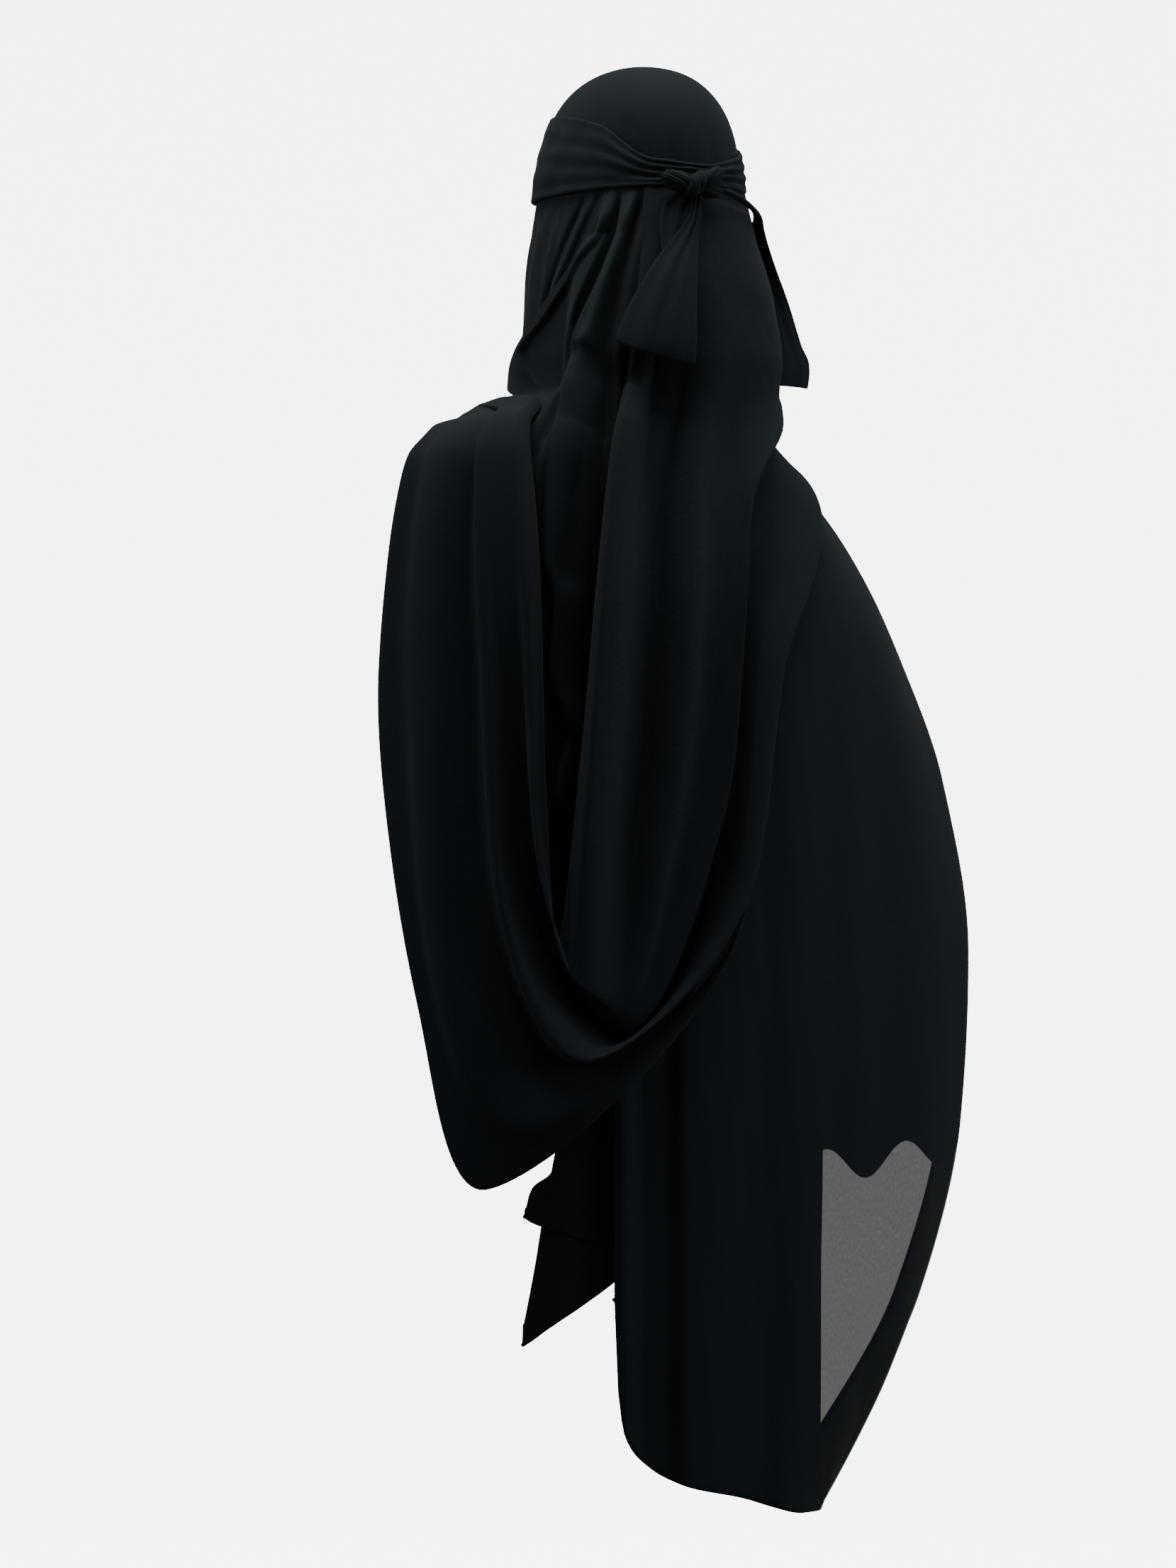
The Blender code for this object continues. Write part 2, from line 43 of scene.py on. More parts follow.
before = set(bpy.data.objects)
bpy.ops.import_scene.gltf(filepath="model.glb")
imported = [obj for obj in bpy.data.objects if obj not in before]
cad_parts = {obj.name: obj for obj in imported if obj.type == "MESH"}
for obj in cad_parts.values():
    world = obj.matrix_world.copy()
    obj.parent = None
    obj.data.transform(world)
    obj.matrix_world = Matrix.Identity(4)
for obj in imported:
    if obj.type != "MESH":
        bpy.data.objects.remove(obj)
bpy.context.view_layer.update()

# Head and body sizes that the cloth lies over
HEAD_HALF_WIDTH = 0.0758
HEAD_HALF_LENGTH = 0.0955
BAND_DROP = 0.105
SHOULDER_DROP = 0.300
DRAPE_DROP = 1.216
SHOULDER_HALF_WIDTH = 0.236
DRAPE_REACH = 0.310
BACK_DEPTH = 0.128
CHEST_DEPTH = 0.120

# Falls and openings
THROW_DROP = 0.921
COWL_LIFT = 0.030
BAND_WIDTH = 0.066
KNOT_WIDTH = 0.054
KNOT_HEIGHT = 0.028
KNOT_DEPTH = 0.020
LEFT_TAIL_LENGTH = 0.148
RIGHT_TAIL_LENGTH = 0.155
TAIL_STAND = 0.010

# Cloth
CLOTH = 0.0012
LAYER_GAP = 0.0004
FOLD_DEPTH = 0.0045
CROWN_ROUND = 2.4
PLAN_ROUND = 2.2
PITCH_HEAD = CLOTH + LAYER_GAP
PITCH_BODY = CLOTH + 7.0 * LAYER_GAP

# How far each side stands out at a level: 0 is the head's own reach, 1 the body's
SECTIONS = (
    # level, left, right, back, front
    (1.000, 0.000, 0.000, 0.00, 0.00),
    (1.231, 0.060, 0.030, 0.42, 0.00),
    (1.487, 0.100, 0.062, 0.66, -0.14),
    (1.744, 0.125, 0.056, 0.66, -0.14),
    (1.923, 0.160, 0.050, 0.58, 0.00),
    (1.985, 0.250, 0.046, 0.56, 0.10),
    (2.015, 0.500, 0.060, 0.57, 0.30),
    (2.028, 0.740, 0.090, 0.60, 0.44),
    (2.044, 0.890, 0.150, 0.64, 0.58),
    (2.055, 0.945, 0.210, 0.67, 0.66),
    (2.082, 0.985, 0.330, 0.74, 0.80),
    (2.127, 1.020, 0.470, 0.84, 1.00),
    (2.217, 1.050, 0.680, 0.95, 1.00),
    (2.326, 1.060, 0.870, 1.04, 1.00),
    (2.489, 1.060, 1.000, 1.12, 1.00),
    (2.652, 1.060, 0.955, 1.18, 1.00),
    (2.815, 1.060, 0.750, 1.18, 1.00),
    (3.000, 1.060, 0.230, 1.18, 1.00),
)

# Where layers are set off upwards, as they lie on the shoulder
SHELF = (
    # level, degrees above level ground
    (1.0, 0.0),
    (1.6, 0.0),
    (1.92, 45.0),
    (2.0, 52.0),
    (2.02, 50.0),
    (2.04, 42.0),
    (2.09, 20.0),
    (2.16, 5.0),
    (2.25, 0.0),
    (3.0, 0.0),
)

# The back fall's rows, from its inner edge to its hem
FALL_ROWS = (
    # turns at the over, shoulder, flank, hip, low, rise, neck, nape and end places,
    # level on the shoulder, low point as a share of the throw's drop, end level
    (104.0, 66.0, 55.0, 52.0, 49.0, 45.0, 40.5, 36.5, 29.5, 2.004, 0.790, 1.02),
    (105.0, 67.5, 56.5, 53.0, 45.0, 41.5, 37.0, 33.0, 27.5, 2.006, 0.822, 1.02),
    (106.0, 68.2, 58.0, 54.0, 41.0, 32.5, 26.5, 22.0, 15.0, 2.009, 0.838, 1.02),
    (107.0, 69.0, 59.2, 55.0, 37.0, 22.5, 12.0, 1.0, -8.0, 2.012, 0.852, 1.02),
    (107.0, 69.4, 60.0, 55.6, 36.0, 15.0, 1.0, -26.0, -42.0, 2.014, 0.859, 1.02),
    (108.0, 69.6, 60.6, 56.2, 35.0, 11.5, -4.0, -50.0, -74.0, 2.016, 0.864, 1.02),
    (108.0, 70.0, 61.2, 56.8, 36.0, 13.0, 3.5, -3.0, -62.0, 2.018, 0.872, 1.97),
    (109.0, 70.4, 62.2, 57.6, 40.0, 9.0, -3.5, -14.0, -64.0, 2.020, 0.881, 1.99),
    (110.0, 71.0, 63.6, 58.6, 43.0, 5.0, -11.0, -27.0, -66.0, 2.022, 0.890, 2.005),
    (111.0, 72.0, 67.5, 62.5, 46.0, 3.0, -13.5, -31.0, -67.0, 2.024, 0.897, 2.008),
    (112.0, 76.0, 72.0, 68.5, 51.0, 5.0, -12.0, -29.0, -67.0, 2.030, 0.925, 2.008),
    (113.0, 80.0, 77.5, 71.5, 56.0, 10.0, -9.0, -27.0, -67.0, 2.036, 0.962, 2.008),
    (114.0, 83.0, 82.2, 73.2, 62.0, 19.0, -4.0, -25.0, -67.0, 2.042, 1.000, 2.008),
)
OVER_LEVEL = 1.985
FALL_PLACES = (0.00, 0.12, 0.26, 0.42, 0.56, 0.70, 0.80, 0.88, 1.00)

# Height of the back fall's folds as shares of the cowl's lift
FALL_FOLDS = (
    # row, height at the shoulder, flank, hip, low, rise, neck and nape places
    (0.00, 0.00, -0.10, -0.15, 0.02, -0.10, -0.20, -0.10),
    (0.30, 0.14, 0.12, 0.16, 0.20, 0.22, 0.20, 0.14),
    (0.80, 0.24, 0.26, 0.34, 0.30, 0.48, 0.46, 0.30),
    (1.25, 0.28, 0.30, 0.26, 0.30, 0.34, 0.38, 0.20),
    (1.65, 0.28, 0.26, 0.04, 0.26, -0.34, -0.36, -0.16),
    (2.05, 0.28, 0.22, -0.14, 0.18, -0.48, -0.50, -0.30),
    (2.50, 0.28, 0.20, -0.24, 0.12, 0.04, 0.00, 0.00),
    (2.85, 0.28, 0.20, -0.28, 0.10, 0.18, 0.16, 0.16),
    (3.30, 0.28, 0.20, -0.30, 0.06, 0.00, 0.00, 0.02),
    (4.10, 0.28, 0.20, -0.32, 0.02, 0.26, 0.26, 0.22),
    (4.90, 0.28, 0.20, -0.32, 0.00, 0.46, 0.50, 0.34),
    (5.05, 0.28, 0.20, -0.32, 0.00, 0.42, 0.46, 0.30),
    (5.25, 0.28, 0.20, -0.32, -0.10, -0.24, -0.20, -0.20),
    (6.00, 0.28, 0.20, -0.32, -0.36, -0.36, -0.36, -0.30),
    (6.60, 0.28, 0.20, -0.20, -0.16, -0.16, -0.16, -0.10),
    (7.20, 0.28, 0.24, 0.14, 0.26, 0.26, 0.26, 0.22),
    (8.00, 0.28, 0.30, 0.36, 0.42, 0.42, 0.42, 0.36),
    (8.30, 0.26, 0.27, 0.32, 0.36, 0.36, 0.36, 0.30),
    (8.50, 0.10, 0.06, 0.12, -0.06, -0.06, -0.06, 0.00),
    (8.85, -0.04, -0.08, 0.00, -0.22, -0.26, -0.26, -0.20),
    (9.40, 0.06, 0.04, 0.02, -0.14, -0.10, -0.10, -0.06),
    (10.00, 0.14, 0.17, 0.18, 0.06, 0.05, 0.05, 0.05),
    (10.60, 0.08, 0.10, 0.12, 0.16, 0.10, 0.08, 0.05),
    (11.20, -0.08, -0.10, -0.06, 0.04, 0.04, 0.04, 0.02),
    (12.00, 0.04, 0.04, 0.00, 0.00, 0.00, 0.00, 0.00),
)

# How far the back fall stands off the layers below, along a fold
FALL_LIFT = (
    # place, share of the cowl's lift
    (0.00, 0.10),
    (0.12, 0.14),
    (0.28, 0.56),
    (0.42, 0.85),
    (0.55, 1.00),
    (0.70, 0.80),
    (0.86, 0.16),
    (1.00, 0.00),
)

# Upright folds of the falls
LEFT_FOLDS = (
    # turn at band, turn at foot, half widths before and after it, share of the fold depth, from level, to level
    (74.0, 82.0, 6.0, 8.0, 0.30, 1.02, 1.60),
    (84.0, 92.0, 4.0, 6.0, 0.20, 1.02, 1.50),
    (104.0, 108.0, 12.0, 10.0, 0.44, 1.05, 1.90),
    (124.0, 122.0, 9.0, 9.0, 0.30, 1.05, 1.90),
)
RIGHT_FOLDS = (
    (-96.0, -100.0, 9.0, 7.0, 0.40, 1.05, 2.00),
    (-118.0, -124.0, 9.0, 9.0, 0.40, 1.05, 2.00),
    (-134.0, -136.0, 6.0, 6.0, 0.25, 1.05, 1.95),
)
GATHER_PLEATS = (
    # height, half width before and after it in degrees, then its way down: metres below the crown and turn
    (-0.0110, 3.6, 4.6, ((0.112, 29.0), (0.165, 36.5), (0.208, 40.7), (0.263, 43.3), (0.426, 43.5), (0.612, 47.5), (0.760, 50.0))),
    (0.0060, 3.0, 3.5, ((0.112, 34.5), (0.165, 41.0), (0.208, 46.5), (0.263, 50.0), (0.380, 50.5))),
    (-0.0100, 2.5, 3.5, ((0.112, 41.0), (0.145, 43.5), (0.193, 50.0), (0.233, 55.5), (0.290, 57.5), (0.380, 60.0), (0.520, 58.0), (0.640, 58.0))),
    (0.0060, 5.0, 2.5, ((0.112, 46.5), (0.146, 50.0), (0.176, 60.0), (0.217, 78.0), (0.248, 96.0), (0.298, 74.0))),
    (0.0130, 6.0, 1.6, ((0.280, 54.0), (0.353, 54.5), (0.438, 54.0), (0.454, 52.0), (0.520, 52.5), (0.561, 49.0), (0.600, 51.0), (0.660, 52.0))),
)
LEFT_PLEATS = (
    (-0.0040, 3.0, 4.0, ((0.104, 60.0), (0.142, 72.0), (0.175, 82.0), (0.207, 90.0), (0.240, 92.0))),
    (0.0035, 4.0, 4.0, ((0.104, 54.0), (0.142, 64.0), (0.175, 74.0), (0.207, 82.0), (0.240, 86.0))),
)
FRONT_FOLDS = (
    (134.0, 150.0, 9.0, 7.0, 0.60, 1.70, 2.40),
    (160.0, 172.0, 9.0, 9.0, 0.50, 1.62, 2.40),
    (206.0, 190.0, 9.0, 9.0, 0.50, 1.60, 2.40),
    (228.0, 214.0, 8.0, 8.0, 0.60, 1.66, 2.40),
)
ARM_FOLDS = (
    (216.0, 216.0, 6.0, 8.0, 0.90, 2.05, 2.80),
    (234.0, 235.0, 8.0, 6.0, 1.00, 2.05, 2.80),
    (252.0, 251.0, 7.0, 9.0, 0.90, 2.05, 2.80),
)
DRAPE_FOLDS = (
    (37.5, 36.0, 5.5, 4.5, 2.00, 2.30, 3.20),
    (19.0, 19.0, 30.0, 6.0, 1.40, 2.10, 3.20),
    (-22.0, -20.0, 16.0, 12.0, 0.60, 2.10, 3.20),
    (-44.0, -42.0, 8.0, 8.0, 0.40, 2.15, 3.20),
    (-60.0, -62.0, 12.0, 10.0, 0.89, 2.10, 3.20),
    (-78.0, -79.0, 7.0, 6.0, 0.60, 2.10, 3.20),
)
INNER_FOLDS = (
    (-20.0, -18.0, 8.0, 9.0, 0.50, 2.30, 3.20),
    (2.0, 3.0, 9.0, 9.0, 0.50, 2.30, 3.20),
    (22.0, 21.0, 7.0, 6.0, 0.60, 2.30, 3.20),
)
UPPER_RUFFLE_FOLDS = (
    (50.0, 51.0, 5.0, 4.0, 0.90, 2.60, 2.80),
    (36.0, 38.0, 6.0, 6.0, 0.50, 2.60, 2.80),
)
LOWER_RUFFLE_FOLDS = (
    (50.0, 52.0, 4.0, 4.0, 0.80, 2.62, 2.90),
    (40.0, 41.0, 4.0, 5.0, 0.70, 2.62, 2.90),
)

# Edges of each fall: the level of its top and its hem at a turn
LEFT_EDGES = ((44.0, 1.00, 1.74), (80.0, 1.00, 1.84), (118.0, 1.00, 1.92), (144.0, 1.00, 1.88))
RIGHT_EDGES = ((-144.0, 1.00, 1.90), (-118.0, 1.00, 1.97), (-92.0, 1.00, 1.985), (-64.0, 1.00, 1.99))
GATHER_SIDES = (
    # level, turn near the middle of the back, turn of the leading edge, turn up to which the back fall covers it
    (1.00, 24.0, 49.0, 25.0),
    (1.20, 24.0, 54.0, 27.0),
    (1.36, 24.0, 65.0, 29.0),
    (1.56, 24.0, 87.0, 31.0),
    (1.72, 24.0, 108.0, 33.0),
    (1.86, 24.0, 120.0, 34.0),
    (1.95, 24.0, 96.0, 35.0),
    (2.03, 24.0, 70.0, 35.0),
    (2.12, 24.0, 66.0, 36.0),
    (2.36, 24.0, 66.0, 40.0),
    (2.52, 24.0, 66.0, 43.0),
)
FRONT_EDGES = (
    (104.0, 1.925, 2.03),
    (120.0, 1.80, 2.06),
    (134.0, 1.64, 2.16),
    (152.0, 1.60, 2.27),
    (180.0, 1.685, 2.33),
    (208.0, 1.60, 2.31),
    (232.0, 1.66, 2.27),
    (256.0, 1.965, 2.22),
)
INNER_DRAPE_EDGES = ((-32.0, 2.26, 2.975), (-10.0, 2.26, 2.962), (12.0, 2.26, 2.945), (32.0, 2.26, 2.900))
ARM_EDGES = (
    (208.0, 2.030, 2.640),
    (225.0, 2.022, 2.664),
    (244.0, 2.016, 2.650),
    (258.0, 2.010, 2.668),
    (280.0, 2.004, 2.640),
)
DRAPE_EDGES = (
    (-88.0, 2.004, 2.990),
    (-60.0, 2.004, 2.995),
    (-27.0, 2.012, 2.985),
    (-2.0, 2.10, 2.962),
    (22.5, 2.28, 2.940),
    (31.0, 2.38, 2.922),
    (35.0, 2.42, 2.902),
    (37.5, 2.44, 2.866),
    (38.6, 2.46, 2.780),
)
UPPER_RUFFLE = (
    (24.0, 2.57, 2.735),
    (37.7, 2.57, 2.732),
    (45.4, 2.57, 2.726),
    (50.0, 2.62, 2.720),
    (53.1, 2.667, 2.716),
    (57.2, 2.683, 2.709),
    (58.1, 2.699, 2.706),
)
LOWER_RUFFLE = (
    (24.0, 2.62, 2.740),
    (33.0, 2.62, 2.750),
    (40.7, 2.62, 2.768),
    (50.0, 2.62, 2.792),
    (54.8, 2.70, 2.805),
    (56.6, 2.75, 2.811),
    (58.7, 2.80, 2.817),
)
BAND_EDGES = (
    # turn, top and foot as shares of the band's width above and below its seat
    (-180.0, 1.04, 0.06),
    (-125.0, 0.94, 0.00),
    (-55.0, 0.56, 0.00),
    (-22.0, 0.30, -0.06),
    (2.0, 0.16, -0.06),
    (25.0, 0.20, -0.10),
    (55.0, 0.66, -0.10),
    (90.0, 0.86, -0.08),
    (125.0, 0.96, -0.05),
    (180.0, 1.04, 0.06),
)
LEFT_TAIL = (
    # share of the length, left turn, right turn, share of the stand-off at the left, at the right
    (0.00, 15.0, 6.0, 0.85, 0.85),
    (0.10, 22.0, 8.0, 0.45, 0.45),
    (0.30, 23.5, 11.0, 0.30, 0.30),
    (0.55, 23.0, 13.0, 0.25, 0.25),
    (1.00, 22.0, 14.5, 0.25, 0.25),
)
LEFT_FLAP = (
    (0.00, 9.5, 6.0, 0.90, 0.90),
    (0.14, 11.5, 8.2, 0.75, 0.75),
    (0.31, 19.0, 10.5, 0.70, 0.62),
    (0.42, 24.5, 12.0, 0.72, 0.62),
    (0.60, 31.0, 13.5, 0.80, 0.62),
    (0.80, 36.5, 14.5, 0.90, 0.66),
    (1.00, 39.5, 15.0, 1.00, 0.70),
)
RIGHT_TAIL = (
    (0.00, -1.0, -8.5, 0.90, 0.80),
    (0.06, -24.0, -28.0, 0.45, 0.60),
    (0.14, -60.0, -54.0, 0.05, 1.00),
    (0.25, -65.0, -60.0, 0.05, 1.40),
    (0.41, -67.0, -67.0, 0.05, 2.00),
    (0.58, -69.0, -73.0, 0.05, 2.80),
    (0.72, -70.0, -76.0, 0.05, 3.50),
    (0.82, -70.0, -78.0, 0.05, 4.30),
    (1.00, -70.0, -79.0, 0.05, 4.60),
)

# Flat size of each piece before it was draped, in metres, and what it rests on
CUTS = {
    "crown_cover": ((0.26, 0.22), "stretched", ()),
    "tie_band": ((0.60, 0.062), "stretched", ("crown_cover",)),
    "tail_left": ((0.075, 0.15), "hung", ("knot",)),
    "tail_right": ((0.042, 0.17), "hung", ("knot",)),
    "back_fall": ((0.28, 1.20), "draped", ("tie_band",)),
    "gathered_fall": ((0.13, 0.66), "gathered", ("tie_band",)),
    "left_side_fall": ((0.17, 0.17), "hung", ("tie_band",)),
    "right_side_fall": ((0.14, 0.19), "hung", ("tie_band",)),
    "front_wrap": ((0.36, 0.30), "draped", ("right_side_fall",)),
    "arm_wrap": ((0.29, 0.64), "draped", ("front_wrap",)),
    "inner_drape": ((0.18, 0.64), "hung", ("right_drape",)),
    "right_drape": ((0.44, 0.88), "draped", ("arm_wrap",)),
    "waterfall_upper": ((0.12, 0.13), "gathered", ("inner_drape",)),
    "waterfall_lower": ((0.12, 0.13), "gathered", ("waterfall_upper",)),
}


def ease(value):
    value = np.clip(value, 0.0, 1.0)
    return value * value * (3.0 - 2.0 * value)


def curve(knots, values, at):
    """A smooth curve through the values that never overshoots between two of them, read at every at."""
    knots, values, at = np.asarray(knots, float), np.asarray(values, float), np.asarray(at, float)
    flat = np.clip(at.ravel(), knots[0], knots[-1])
    more = (1,) * (values.ndim - 1)
    steps = np.diff(knots)
    wide = steps.reshape(-1, *more)
    slopes = np.diff(values, axis=0) / wide
    tangents = np.zeros_like(values)
    tangents[0], tangents[-1] = slopes[0], slopes[-1]
    before, after = slopes[:-1], slopes[1:]
    one, two = 2.0 * wide[1:] + wide[:-1], wide[1:] + 2.0 * wide[:-1]
    same = before * after > 0.0
    harmonic = (one + two) / (one / np.where(same, before, 1.0) + two / np.where(same, after, 1.0))
    tangents[1:-1] = np.where(same, harmonic, 0.0)
    place = np.clip(np.searchsorted(knots, flat, side="right") - 1, 0, len(steps) - 1)
    span = steps[place].reshape(-1, *more)
    u = ((flat - knots[place]) / steps[place]).reshape(-1, *more)
    found = (1.0 + 2.0 * u) * (1.0 - u) ** 2 * values[place] + u * u * (3.0 - 2.0 * u) * values[place + 1]
    found += span * u * (1.0 - u) * ((1.0 - u) * tangents[place] - u * tangents[place + 1])
    return found.reshape(at.shape + values.shape[1:])


def column(table, index, at):
    return curve([row[0] for row in table], [row[index] for row in table], at)


MARKS = (0.0, BAND_DROP, SHOULDER_DROP, DRAPE_DROP)


def drop_of(level):
    """Metres below the crown at a level."""
    return np.interp(level, (0.0, 1.0, 2.0, 3.0), MARKS)


def level_of(drop):
    return np.interp(drop, MARKS, (0.0, 1.0, 2.0, 3.0))


def reach(turn, level):
    """Distance from the upright axis to the inside of the innermost layer."""
    side, back = np.sin(np.radians(turn)), np.cos(np.radians(turn))
    left, behind = side > 0.0, back > 0.0
    lower = np.maximum(level, 1.0)
    wide = np.where(left, column(SECTIONS, 1, lower), column(SECTIONS, 2, lower))
    deep = np.where(behind, column(SECTIONS, 3, lower), column(SECTIONS, 4, lower))
    width = HEAD_HALF_WIDTH + (np.where(left, SHOULDER_HALF_WIDTH, DRAPE_REACH) - HEAD_HALF_WIDTH) * wide
    length = HEAD_HALF_LENGTH + (np.where(behind, BACK_DEPTH, CHEST_DEPTH) - HEAD_HALF_LENGTH) * deep
    top = (1.0 - (1.0 - np.clip(level, 0.0, 1.0)) ** CROWN_ROUND) ** (1.0 / CROWN_ROUND)
    total = (np.abs(side) / width) ** PLAN_ROUND + (np.abs(back) / length) ** PLAN_ROUND
    return top / total ** (1.0 / PLAN_ROUND)


def pitch(level):
    return PITCH_HEAD + (PITCH_BODY - PITCH_HEAD) * ease((level - 1.2) / 0.6)


def spot(turn, level, layer, extra=0.0):
    """The middle of a layer of cloth at turns and levels, set off by its layer and an extra stand-off."""
    turn, level = np.broadcast_arrays(np.asarray(turn, float), np.asarray(level, float))
    off = CLOTH / 2.0 + layer * pitch(level) + extra
    lift = np.radians(column(SHELF, 1, level)) * np.abs(np.sin(np.radians(turn))) ** 0.7
    lift = np.where(level < 1.0, np.radians(90.0) * np.clip(1.0 - level, 0.0, 1.0) ** 1.6, lift)
    out = reach(turn, level) + off * np.cos(lift)
    drop = drop_of(level) - off * np.sin(lift)
    angle = np.radians(turn)
    return np.stack((out * np.sin(angle), out * np.cos(angle), -drop), axis=-1)


def relief(folds, turn, level, tall):
    """Height of the upright folds at each point."""
    height = np.zeros_like(turn)
    for top_turn, foot_turn, before, after, share, start, stop in folds:
        run = np.clip((level - start) / (stop - start), 0.0, 1.0)
        off = turn - (top_turn + (foot_turn - top_turn) * run)
        near = np.abs(off) / np.where(off < 0.0, before, after)
        fade = ease((level - start) / 0.25)
        height += tall * share * fade * np.cos(np.minimum(near, 1.0) * np.pi / 2.0) ** 2
    return height


def pleated(pleats, turn, drop):
    """Height of pleats that wander down the cloth, each fading in and out at its ends."""
    height = np.zeros_like(turn)
    for tall, before, after, way in pleats:
        drops = [mark[0] for mark in way]
        off = turn - curve(drops, [mark[1] for mark in way], drop)
        near = np.abs(off) / np.where(off < 0.0, before, after)
        fade = ease((drop - drops[0]) / 0.03) * ease((drops[-1] - drop) / 0.05)
        height += tall * fade * np.cos(np.minimum(near, 1.0) * np.pi / 2.0) ** 2
    return height


def ripple(a, b, size):
    """Slight unevenness of cloth that hangs freely."""
    wave = np.sin(a * 1.3 + 2.1 * np.sin(b * 0.9) + 0.4) + 0.6 * np.sin(a * 2.7 - b * 1.9 + 1.7)
    return size * (wave + 0.4 * np.sin(a * 5.3 + b * 3.1 + 0.9))


LEVELS = np.linspace(1.0, 3.0, 2001)
CROWDED = LEVELS + 0.30 * np.array([math.erf((level - 2.035) / 0.07) for level in LEVELS])


def rows_between(top, hem, count):
    """Levels between each top and hem, set closer where the cloth bends over the shoulder."""
    low, high = np.interp(top, LEVELS, CROWDED), np.interp(hem, LEVELS, CROWDED)
    share = np.linspace(0.0, 1.0, count)[:, None]
    return np.interp(low + (high - low) * share, CROWDED, LEVELS)


def drape_layer(turn, level):
    return 4.0 - 2.6 * (1.0 - ease((level - 2.06) / 0.14)) * ease((turn + 82.0) / 20.0)


def side_layer(turn, level):
    return 0.86 - 0.86 * ease((level - 1.05) / 0.3)


def front_layer(turn, level):
    beside = ease(1.0 - np.abs(np.abs(turn - 180.0) - 46.0) / 20.0)
    return 1.0 - 0.52 * beside * ease((1.88 - level) / 0.06)


def arm_layer(turn, level):
    inside = 1.45 * ease((244.0 - turn) / 20.0) * ease((level - 2.10) / 0.08)
    return 3.0 - inside + 0.24 * ease((turn - 262.0) / 10.0)


def fall_layer(turn, level):
    low = 0.6 + 0.7 * ease((turn + 5.0) / 25.0)
    low = low + 2.3 * ease((level - 2.04) / 0.16) * ease((62.0 - turn) / 20.0)
    return 2.0 + low * ease((level - 1.05) / 0.6)


def roll_edge(points, side, radius, turns=8):
    """Adds a narrow rolled hem along one side of a grid of points: top, foot, start or end."""
    grid = points if side in ("top", "foot") else points.swapaxes(0, 1)
    if side in ("top", "start"):
        grid = grid[::-1]
    edge, inside = grid[-1], grid[-3]
    along = np.gradient(edge, axis=0)
    ahead = edge - inside
    ahead /= np.linalg.norm(ahead, axis=1, keepdims=True) + 1e-12
    normal = np.cross(along, ahead)
    normal /= np.linalg.norm(normal, axis=1, keepdims=True) + 1e-12
    outward = edge - np.array((0.0, 0.0, 1.0)) * edge[:, 2:]
    if (normal * outward).sum() < 0.0:
        normal = -normal
    rows = []
    for step in range(1, turns + 1):
        angle = math.radians(290.0) * step / turns
        rows.append(edge + ahead * radius * math.sin(angle) - normal * radius * (1.0 - math.cos(angle)))
    grid = np.concatenate((grid, np.array(rows)))
    if side in ("top", "start"):
        grid = grid[::-1]
    return grid if side in ("top", "foot") else grid.swapaxes(0, 1)


class Value:
    """A shader socket whose arithmetic adds the nodes that do it."""

    def __init__(self, shading, socket):
        self.shading, self.socket = shading, socket

    def __add__(self, other):
        return self.shading.math("ADD", self, other)

    def __sub__(self, other):
        return self.shading.math("SUBTRACT", self, other)

    def __rsub__(self, other):
        return self.shading.math("SUBTRACT", other, self)

    def __mul__(self, other):
        return self.shading.math("MULTIPLY", self, other)

    def __truediv__(self, other):
        return self.shading.math("DIVIDE", self, other)

    def __pow__(self, other):
        return self.shading.math("POWER", self, other)

    __radd__, __rmul__ = __add__, __mul__


class Shading:
    """The nodes of one material."""

    def __init__(self, name):
        self.material = bpy.data.materials.new(name)
        self.material.use_nodes = True
        self.tree = self.material.node_tree
        self.shader = self.tree.nodes["Principled BSDF"]

    def feed(self, socket, value):
        if isinstance(value, Value):
            self.tree.links.new(value.socket, socket)
        else:
            socket.default_value = value

    def node(self, kind, settings=None, inputs=None, output=0):
        """A node of a kind, its settings made first, then its sockets fed."""
        made = self.tree.nodes.new(kind)
        for name, value in (settings or {}).items():
            if name == "stops":
                ramp = made.color_ramp
                while len(ramp.elements) < len(value):
                    ramp.elements.new(1.0)
                for stop, (position, shade) in zip(ramp.elements, value):
                    stop.position, stop.color = position, (shade, shade, shade, 1.0)
            else:
                setattr(made, name, value)
        for name, value in (inputs or {}).items():
            self.feed(made.inputs[name], value)
        return Value(self, made.outputs[output])

    def math(self, operation, first, second, clamp=False):
        return self.node("ShaderNodeMath", {"operation": operation, "use_clamp": clamp}, {0: first, 1: second})

    def set(self, **sockets):
        for name, value in sockets.items():
            self.feed(self.shader.inputs[name.replace("_", " ")], value)


